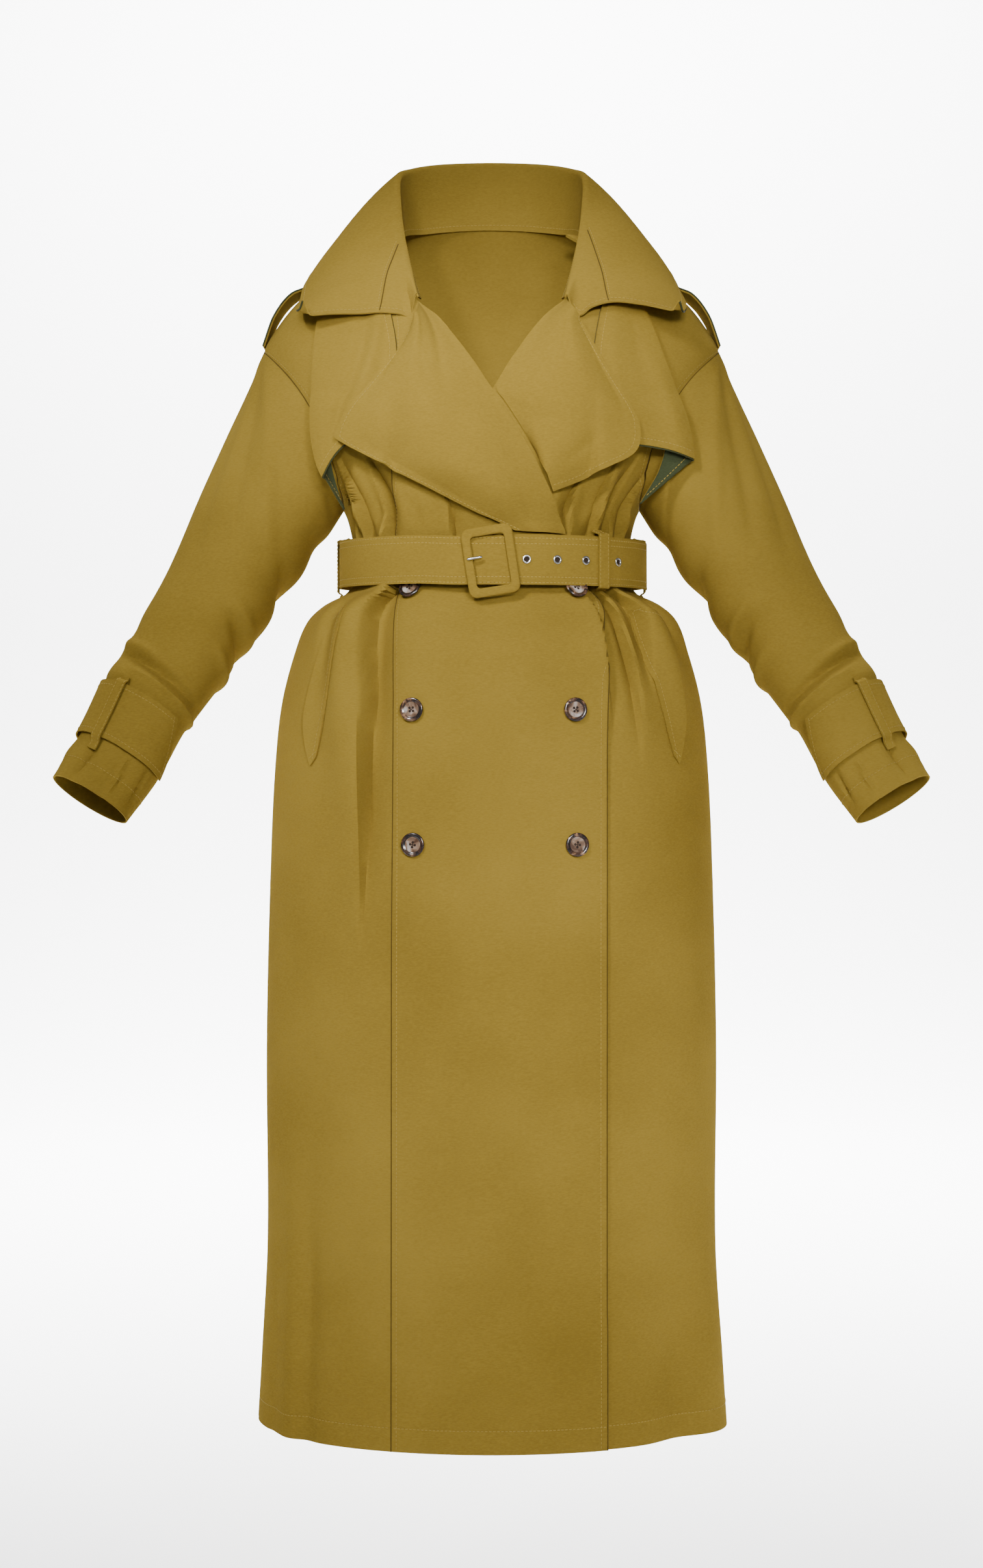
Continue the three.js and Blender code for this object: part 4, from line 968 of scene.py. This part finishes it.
# How far an epaulette stands off the shoulder seam, by its distance from the middle.
EPAULETTE = np.array([[196, 1.5], [205, 4], [214, 6.5], [222, 8], [230, 7.5], [237, 5], [243.5, 2]], float)
EPAULETTE_HALF = 17.0
EPAULETTE_WALL = 3.0
SHOULDER = Table(["half", "z"], [
    [98, -4], [128, -19], [163, -38], [189, -57], [213, -80], [231, -104], [243, -127]])
EPAULETTE_TILT = 5.0  # how far its front edge stands above its rear edge
EPAULETTE_SPLIT = 1.5  # its lower cloth's share of the wall


def make_epaulettes():
    line = catmull(EPAULETTE, np.linspace(0, 1, 60))
    for side, sign in (("right", -1), ("left", 1)):
        for name, half, inner, outer, material in (
                ("under", EPAULETTE_HALF - 1.3, 0.0, EPAULETTE_SPLIT, TWILL),
                ("cloth", EPAULETTE_HALF, EPAULETTE_SPLIT, EPAULETTE_WALL, LINING_CLOTH)):
            across = np.linspace(-1, 1, 18)[:, None] * half
            x = line[:, 0] + 0 * across
            tilt = EPAULETTE_TILT * smooth(line[:, 1], 1.5, 7) * (0.5 + across / EPAULETTE_HALF / 2)
            z = SHOULDER.at("z", x) + CLOTH + 1 + line[:, 1] + tilt
            grid = np.stack([sign * x, -across + 0 * x, z], -1)
            if sign > 0:
                grid = grid[::-1]
            if name == "under":
                cloth_layer(f"epaulette_under_{side}", grid, inner, outer, material)
            else:
                cloth_piece(f"epaulette_cloth_{side}", f"epaulette_{side}", grid, inner, outer, material)


# Belt

def belt_point(angle, z, lift):
    angle, z, lift = np.broadcast_arrays(np.asarray(angle, float), np.asarray(z, float), lift)
    turn = np.radians(angle)
    forward, side = np.cos(turn), np.sin(turn)
    depth = np.where(forward > 0, RINGS.at("front", BELT_Z), RINGS.at("back", BELT_Z)) + 1
    wide = RINGS.at("half", BELT_Z) + 1
    outward = normalized(np.stack([side / wide, -forward / depth, 0 * z], -1))
    return np.stack([side * wide, -forward * depth, z], -1) + outward * (BELT_LIFT + lift)[..., None]


def belt_dip(angle):
    return 3.5 * np.cos(np.radians(angle)) - 2


BELT_START, BELT_SEAM, BELT_TIP = -5.0, 351.5, 446.0
BELT_END_GAP, BELT_END_DROP = 0.8, 2.0


def belt_grid(start, end, columns):
    angle = np.linspace(start, end, columns)[None]
    up = np.linspace(-1, 1, 14)[:, None]
    over = smooth(angle, 330, 348)
    z = BELT_Z - belt_dip(angle) - BELT_END_DROP * over + up * BELT_WIDTH / 2
    waver = 0.8 * np.sin(np.radians(angle) * 7 + up) + 0.5 * np.sin(np.radians(angle) * 17)
    return belt_point(angle + 0 * up, z, (BELT_WALL + BELT_END_GAP) * over + 0.25 * waver)


BELT_CLOTH = BELT_WALL - 0.4
BELT_GAP = 0.14  # degrees between the belt and its end piece


def make_belt():
    whole = belt_grid(BELT_START, BELT_SEAM, 380)
    cloth_piece("belt_cloth", "belt", whole, 0, BELT_CLOTH, TWILL)
    end = belt_grid(BELT_SEAM + BELT_GAP, BELT_TIP, 130)
    cloth_piece("belt_end_cloth", "belt_end", end, 0, BELT_CLOTH, TWILL)
    lines = []
    for grid in (whole, end):
        out = raised(grid, BELT_CLOTH)
        up = grid_normals(out)
        for name in ("first_row", "last_row"):
            lines += [inset_line(out, up, name, 2.2), inset_line(out, up, name, 8)]
    stitches("belt_stitching", lines)


BUCKLE_WIDTH, BUCKLE_HEIGHT, BUCKLE_BAR, BUCKLE_WALL = 55.0, 72.0, 9.5, 4.5
BUCKLE_TILT, BUCKLE_X, BUCKLE_DROP = 9.0, -1.0, 3.0
BUCKLE_LIFT = BELT_WALL * 2 + 1


def on_buckle(x, y, lift):
    tilt = math.radians(BUCKLE_TILT)
    across = BUCKLE_X + x * math.cos(tilt) - y * math.sin(tilt)
    up = x * math.sin(tilt) + y * math.cos(tilt)
    angle = np.degrees(np.arcsin(across / (RINGS.at("half", BELT_Z) + BELT_LIFT + lift)))
    return belt_point(angle, BELT_Z - belt_dip(0) - BUCKLE_DROP + up, lift)


def rounded_outline(width, height, radius, corner_steps=10, side_steps=16):
    points = []
    for sx, sy, start in ((1, 1, 0), (-1, 1, 90), (-1, -1, 180), (1, -1, 270)):
        turns = np.radians(start + np.linspace(0, 90, corner_steps))
        corner = np.stack([sx * (width / 2 - radius) + radius * np.cos(turns),
                           sy * (height / 2 - radius) + radius * np.sin(turns)], -1)
        points.append(corner)
    whole = []
    for k, corner in enumerate(points):
        after = points[(k + 1) % 4][0]
        t = np.linspace(0, 1, side_steps + 1)[1:-1, None]
        whole += [corner, mix(corner[-1], after, t)]
    return np.concatenate(whole)


def make_buckle():
    inner = rounded_outline(BUCKLE_WIDTH - 2 * BUCKLE_BAR, BUCKLE_HEIGHT - 2 * BUCKLE_BAR, 4)
    outer = rounded_outline(BUCKLE_WIDTH, BUCKLE_HEIGHT, 9)
    turns = np.radians(np.linspace(0, 360, 20, endpoint=False))
    rings = []
    for turn in turns:
        share = 0.5 - 0.5 * np.sign(np.cos(turn)) * abs(np.cos(turn)) ** 0.6
        height = 0.5 + 0.5 * np.sign(np.sin(turn)) * abs(np.sin(turn)) ** 0.6
        xy = mix(outer, inner, share)
        rings.append(on_buckle(xy[:, 0], xy[:, 1], BUCKLE_LIFT + BUCKLE_WALL * height))
    grid = np.stack(rings)
    rows, columns = grid.shape[:2]
    index = np.arange(rows * columns).reshape(rows, columns)
    right, down = np.roll(index, -1, 1), np.roll(index, -1, 0)
    faces = np.stack([index, right, np.roll(down, -1, 1), down], -1).reshape(-1, 4)
    own(new_object("buckle_covered", grid.reshape(-1, 3), faces, TWILL, 60), "buckle")


def tube(name, line, radius, material, node_name, sides=14):
    """A round bar along a line, with domed ends."""
    line = catmull(line, np.linspace(0, 1, 40))
    run = normalized(np.gradient(line, axis=0))
    side = normalized(np.cross(run, [0, 0, 1.0]))
    up = np.cross(side, run)
    size = radius * np.sqrt(np.clip(1 - (np.abs(np.linspace(-1, 1, 40)) ** 16), 0.02, 1))
    turns = np.linspace(0, 2 * np.pi, sides, endpoint=False)
    grid = np.stack([line + (side * math.cos(t) + up * math.sin(t)) * size[:, None] for t in turns], 1)
    index = np.arange(40 * sides).reshape(40, sides)
    faces = round_quads(index).tolist() + [index[0, ::-1].tolist(), index[-1].tolist()]
    return own(new_object(name, grid.reshape(-1, 3), faces, material, 60), node_name)


def make_prong():
    lift = BUCKLE_LIFT + BUCKLE_WALL + 1.5 + SEAM
    places = [(-24.5, 5, lift - 0.4), (-19, 5, lift), (-13, 5.1, lift - 0.3), (-8, 5.2, lift - 1.4)]
    line = [on_buckle(*map(np.array, place)) for place in places]
    tube("prong", line, 1.45, STEEL, "buckle_prong")


def turned_piece(name, profile, middle, outward, material, node_name, sides=48):
    """A body of revolution from radius and height pairs, set at a place to face outward."""
    profile = np.asarray(profile, float)
    outward, side, up = facing(outward)
    turns = np.linspace(0, 2 * np.pi, sides, endpoint=False)
    ring = side * np.cos(turns)[:, None] + up * np.sin(turns)[:, None]
    points = middle + profile[:, :1, None] * ring[None] + profile[:, 1:, None] * outward
    faces = round_quads(np.arange(len(profile) * sides).reshape(len(profile), sides))
    return own(new_object(name, points.reshape(-1, 3), faces, material, 50), node_name)


def disc(middle, outward, radius, low, high, sides=28):
    """The lower and upper rims of a flat disc."""
    outward, side, up = facing(outward)
    turns = np.linspace(0, 2 * np.pi, sides, endpoint=False)[:, None]
    ring = (side * np.cos(turns) + up * np.sin(turns)) * radius
    return np.concatenate([middle + outward * low + ring, middle + outward * high + ring])


def disc_piece(name, discs, material):
    points, faces, count = [], [], 0
    for each in discs:
        sides = len(each) // 2
        low = list(range(count, count + sides))
        high = list(range(count + sides, count + 2 * sides))
        faces += [[low[k], low[(k + 1) % sides], high[(k + 1) % sides], high[k]] for k in range(sides)]
        faces += [low[::-1], high]
        points.append(each)
        count += len(each)
    loose(new_object(name, np.concatenate(points), faces, material, 50))


EYELET_ANGLES = (12.8, 24.5, 36.5, 53.0)


def make_eyelets():
    holes = []
    for i, angle in enumerate(EYELET_ANGLES):
        z = BELT_Z - belt_dip(angle) - 1
        middle = belt_point(angle, z, BELT_WALL * 2 + 1.0)
        outward = belt_point(angle, z, 20.0) - belt_point(angle, z, 0.0)
        arc = np.radians(np.linspace(200, -20, 12))
        profile = [[2.3, -0.6]] + [[3.6 + 1.15 * math.cos(a), 0.25 + 0.95 * math.sin(a)] for a in arc]
        turned_piece(f"eyelet_ring_{i + 1}", profile + [[4.6, -0.1], [2.3, -0.6]], middle, outward, STEEL,
                     f"eyelet_{i + 1}")
        # A dark disc set in the eyelet, painted as the shade inside its hole.
        holes.append(disc(middle, outward, 2.9, -0.5, -0.12))
    disc_piece("eyelet_hole_shade", holes, THREAD_AND_HOLE_SHADE)


LOOP_SECTION = np.array([
    [-32, 0], [-28.5, 0.5], [-27, 1], [0, 1], [27, 1], [28.5, 0.5], [32, 0]], float)
LOOP_SEAT = 5.5


def make_loops():
    lines = []
    for name, node_name, angle, width, reach in (
            ("keeper_cloth", "belt_keeper", 45.0, 13.0, BELT_WALL * 2 + 1.2),
            ("belt_loop_cloth_left", "belt_loop_left", 94.0, 11.0, BELT_WALL + 1.2),
            ("belt_loop_cloth_right", "belt_loop_right", -94.0, 11.0, BELT_WALL + 1.2)):
        span = np.degrees(width / 2 / RINGS.at("half", BELT_Z))
        section = np.stack([np.interp(np.linspace(0, 6, 61), np.arange(7), LOOP_SECTION[:, k])
                            for k in (0, 1)], 1)
        up, rise = section[:, :1], smooth(section[:, 1:], 0, 1)
        a = angle + np.linspace(-1, 1, 9)[None] * span
        seat = body(a + 0 * up, BELT_Z + up, LOOP_SEAT, False)
        over = belt_point(a + 0 * up, BELT_Z - belt_dip(angle) - 1 + up, reach)
        grid = mix(seat, over, (rise + 0 * a)[..., None])
        cloth_piece(name, node_name, grid, 0, 1.2, TWILL)
        out = raised(grid, 1.2)
        lines += [inset_line(out, grid_normals(out), edge, 1.6) for edge in ("first_column", "last_column")]
    stitches("loop_stitching", lines)


# Buttons

BUTTONS = [[-82, -390], [-80, -514], [-79, -652], [82, -390], [84, -514], [86, -652]]
BUTTON_PROFILE = [
    [0.01, -0.3], [4, -0.3], [8, 0.1], [11.1, 1.0], [12.1, 1.7], [12.3, 2.4], [12.0, 3.1], [11.2, 3.55],
    [10.2, 3.6], [9.3, 3.3], [8.5, 2.75], [7.4, 2.5], [5.5, 2.4], [0.01, 2.4]]
HOLE_OUT = 2.5  # of a hole from the middle
BUTTON_FACE = 2.62  # the level of its polished middle


def button_place(x, z):
    """A button's middle on the cloth and its facing, as the solid's is found."""
    across = on_front(x + BUTTON_RADIUS, z, 0, False) - on_front(x - BUTTON_RADIUS, z, 0, False)
    up = on_front(x, z + BUTTON_RADIUS, 0, False) - on_front(x, z - BUTTON_RADIUS, 0, False)
    outward = normalized(np.cross(across, up))
    seat = on_front(x, z, OVERLAP_LIFT)
    turns = np.linspace(0, 2 * np.pi, 24, endpoint=False)
    rim = np.array([on_front(x + BUTTON_RADIUS * math.cos(t), z + BUTTON_RADIUS * math.sin(t), OVERLAP_LIFT)
                    for t in turns])
    rise = max(0.0, float(((rim - seat) @ outward).max()))
    return seat + outward * (rise + CLOTH + BUTTON_SHANK), outward


def make_buttons():
    threads, faces, dark = [], [], []
    for i, (x, z) in enumerate(BUTTONS):
        middle, outward = button_place(np.float64(x), np.float64(z))
        turned_piece(f"button_horn_{i + 1}", BUTTON_PROFILE, middle, outward, HORN,
                     f"button_{i + 1}")
        side = normalized(np.cross([0, 0, 1.0], outward))
        up = np.cross(outward, side)
        turns = [math.radians(18 + 31 * i) + k * math.pi / 2 for k in range(4)]
        holes = [side * math.cos(turn) * HOLE_OUT + up * math.sin(turn) * HOLE_OUT for turn in turns]
        faces.append(disc(middle, outward, 8.2, 1.6, BUTTON_FACE, 40))
        # Dark discs on the face at the holes, painted as the shade inside them.
        dark += [disc(middle + hole, outward, 1.3, 1.9, BUTTON_FACE + 0.08, 16) for hole in holes]
        for a, b in ((0, 2), (1, 3)):
            lift = 0.55 if a == 0 else 1.0
            line = [middle + outward * 2.3 + holes[a], middle + outward * (2.3 + lift) + holes[a] * 0.72,
                    middle + outward * (2.4 + lift), middle + outward * (2.3 + lift) + holes[b] * 0.72,
                    middle + outward * 2.3 + holes[b]]
            threads.append(catmull(line, np.linspace(0, 1, 16)))
    disc_piece("button_faces", faces, PALE_HORN)
    disc_piece("button_hole_shade", dark, THREAD_AND_HOLE_SHADE)
    thread_piece("button_threads", threads, 0.3, THREAD_AND_HOLE_SHADE)


# Pocket welts and cuff straps

WELTS = {
    "right": {"sign": -1, "top": (-137, -404), "bottom": (-177, -562)},
    "left": {"sign": 1, "top": (146, -405), "bottom": (188, -560)},
}
WELT_LIFT = 0.7  # over the front's face
WELT_WIDTH = 38.0
WELT_SLOPE = 9.0
WELT_LIMIT = 86.0


def make_welts():
    for side, welt in WELTS.items():
        t = np.linspace(0, 1, 90)[:, None]
        s = np.linspace(0, 1, 24)[None]
        z = mix(welt["bottom"][1], welt["top"][1], t) - WELT_SLOPE * s
        x = mix(welt["bottom"][0], welt["top"][0], t) + 0 * s
        inner = angle_at(x, z)
        reach = np.degrees(WELT_WIDTH / RINGS.at("half", z)) * 1.15
        taper = 0.25 + 0.75 * np.sin(np.pi / 2 * np.clip(t / 0.4, 0, 1))
        outer = np.clip(inner + welt["sign"] * reach * taper, -WELT_LIMIT, WELT_LIMIT)
        angle = mix(inner, outer, s)
        base = CLOTH + (right_lift(angle) if side == "right" else 0)
        pillow = 2.6 * s ** 2 * np.sin(np.pi * t) ** 0.5
        grid = body(angle, z, base + WELT_LIFT + pillow)
        if welt["sign"] < 0:
            grid = grid[:, ::-1]
        cloth_piece(f"pocket_welt_cloth_{side}", f"pocket_welt_{side}", grid, 0, CLOTH, TWILL)
        out = raised(grid, CLOTH)
        up = grid_normals(out)
        stitches(f"pocket_welt_stitching_{side}", [inset_line(out, up, name, STITCH_IN) for name in (
            "first_row", "last_row", "last_column" if side == "right" else "first_column")])


STRAP = {"top": 0.797, "bottom": 0.922, "start": -130.0, "end": (168.0, 138.0), "lift": 3.2}
CUFF_LOOP = {"around": 58.0, "spread": 6.5, "top": 0.775, "bottom": 0.945, "lift": 2.4, "rise": 4.6}


def make_cuff_straps():
    down = np.linspace(STRAP["bottom"], STRAP["top"], 20)[:, None]
    reach = np.linspace(STRAP["end"][0], STRAP["end"][1], 20)[:, None]
    around = STRAP["start"] + np.linspace(0, 1, 150)[None] * (reach - STRAP["start"])
    t = np.linspace(-1, 1, 9)[None]
    v = np.linspace(0, 1, 60)[:, None]
    strap = sleeve_point(down + 0 * around, around + 0 * down, STRAP["lift"], fine=False)
    rise = smooth(np.sin(np.pi * v), 0.22, 0.42)
    loop = sleeve_point(mix(CUFF_LOOP["bottom"], CUFF_LOOP["top"], v) + 0 * t,
                        CUFF_LOOP["around"] + CUFF_LOOP["spread"] * t + 0 * v,
                        CUFF_LOOP["lift"] + CUFF_LOOP["rise"] * rise + 0 * t, fine=False)
    for side in ("right", "left"):
        band, ring = (strap, loop) if side == "right" else (mirrored(strap), mirrored(loop))
        cloth_piece(f"cuff_strap_cloth_{side}", f"cuff_strap_{side}", band, 0, CLOTH, TWILL)
        cloth_piece(f"cuff_strap_loop_cloth_{side}", f"cuff_strap_loop_{side}", ring, 0, CLOTH,
                    TWILL)
        out = raised(band, CLOTH)
        up = grid_normals(out)
        top = raised(ring, CLOTH)
        top_up = grid_normals(top)
        stitches(f"cuff_strap_stitching_{side}",
                 [inset_line(out, up, name, STITCH_IN * 0.8)
                  for name in ("first_row", "last_row", "first_column", "last_column")]
                 + [inset_line(top, top_up, name, 1.7) for name in ("first_column", "last_column")])


# Room, light and camera

FLOOR_Z = -1560.0


def make_room():
    """A pale floor that curves up into a pale wall behind."""
    wide, near, far, high, bend = 9000.0, -7000.0, 6200.0, 6000.0, 1600.0
    turns = np.radians(np.linspace(0, 90, 24))
    profile = [[near, FLOOR_Z], *[[far - bend + bend * math.sin(t), FLOOR_Z + bend - bend * math.cos(t)]
                                  for t in turns], [far, high]]
    points = [[x, y, z] for x in (-wide, wide) for y, z in profile]
    n = len(profile)
    faces = [[i, i + n, i + n + 1, i + 1] for i in range(n - 1)]
    material = principled("studio", (0.93, 0.93, 0.93), 0.9)[0]
    new_object("studio_floor", points, faces, material, 80)


def make_light(name, place, aim, size, power, spread=180.0):
    light = bpy.data.lights.new(name, "AREA")
    light.shape = "RECTANGLE"
    light.size, light.size_y = size
    light.energy = power
    light.spread = math.radians(spread)
    lamp = bpy.data.objects.new(name, light)
    lamp.location = place
    look = Vector(np.array(aim, float) - np.array(place, float))
    lamp.rotation_euler = look.to_track_quat("-Z", "Y").to_euler()
    bpy.context.scene.collection.objects.link(lamp)


def make_camera():
    data = bpy.data.cameras.new("camera")
    data.sensor_fit = "VERTICAL"
    data.sensor_height = 36.0
    data.lens = 59.7
    data.clip_end = 60
    camera = bpy.data.objects.new("camera", data)
    camera.location = (0, -2.8, -0.59)
    camera.rotation_euler = (math.radians(90), 0, 0)
    bpy.context.scene.collection.objects.link(camera)
    bpy.context.scene.camera = camera


make_body()
make_sleeves()
make_collar()
make_lapels()
make_flaps()
make_epaulettes()
make_belt()
make_buckle()
make_prong()
make_eyelets()
make_loops()
make_buttons()
make_welts()
make_cuff_straps()
make_room()
make_light("key", (-1.4, -2.7, 1.5), (-0.03, 0, -0.45), (0.45, 0.45), 1.9, 24)
make_light("fill", (0.8, -3.6, 0.1), (0.04, 0, -0.9), (0.6, 1.1), 3.5, 24)
make_light("neck", (0.0, -2.9, 0.1), (0, 0, -0.12), (0.3, 0.25), 0.55, 13)
make_light("wall", (0, 3.9, 2.7), (0, 6.2, -0.3), (5.0, 1.0), 1250)
make_light("floor", (0, 3.1, 3.2), (0, 3.1, -1.5), (5.0, 4.4), 480, 60)
world = bpy.data.worlds.new("world")
world.use_nodes = True
world.node_tree.nodes["Background"].inputs["Color"].default_value = (1, 1, 1, 1)
world.node_tree.nodes["Background"].inputs["Strength"].default_value = 0.2
bpy.context.scene.world = world
make_camera()
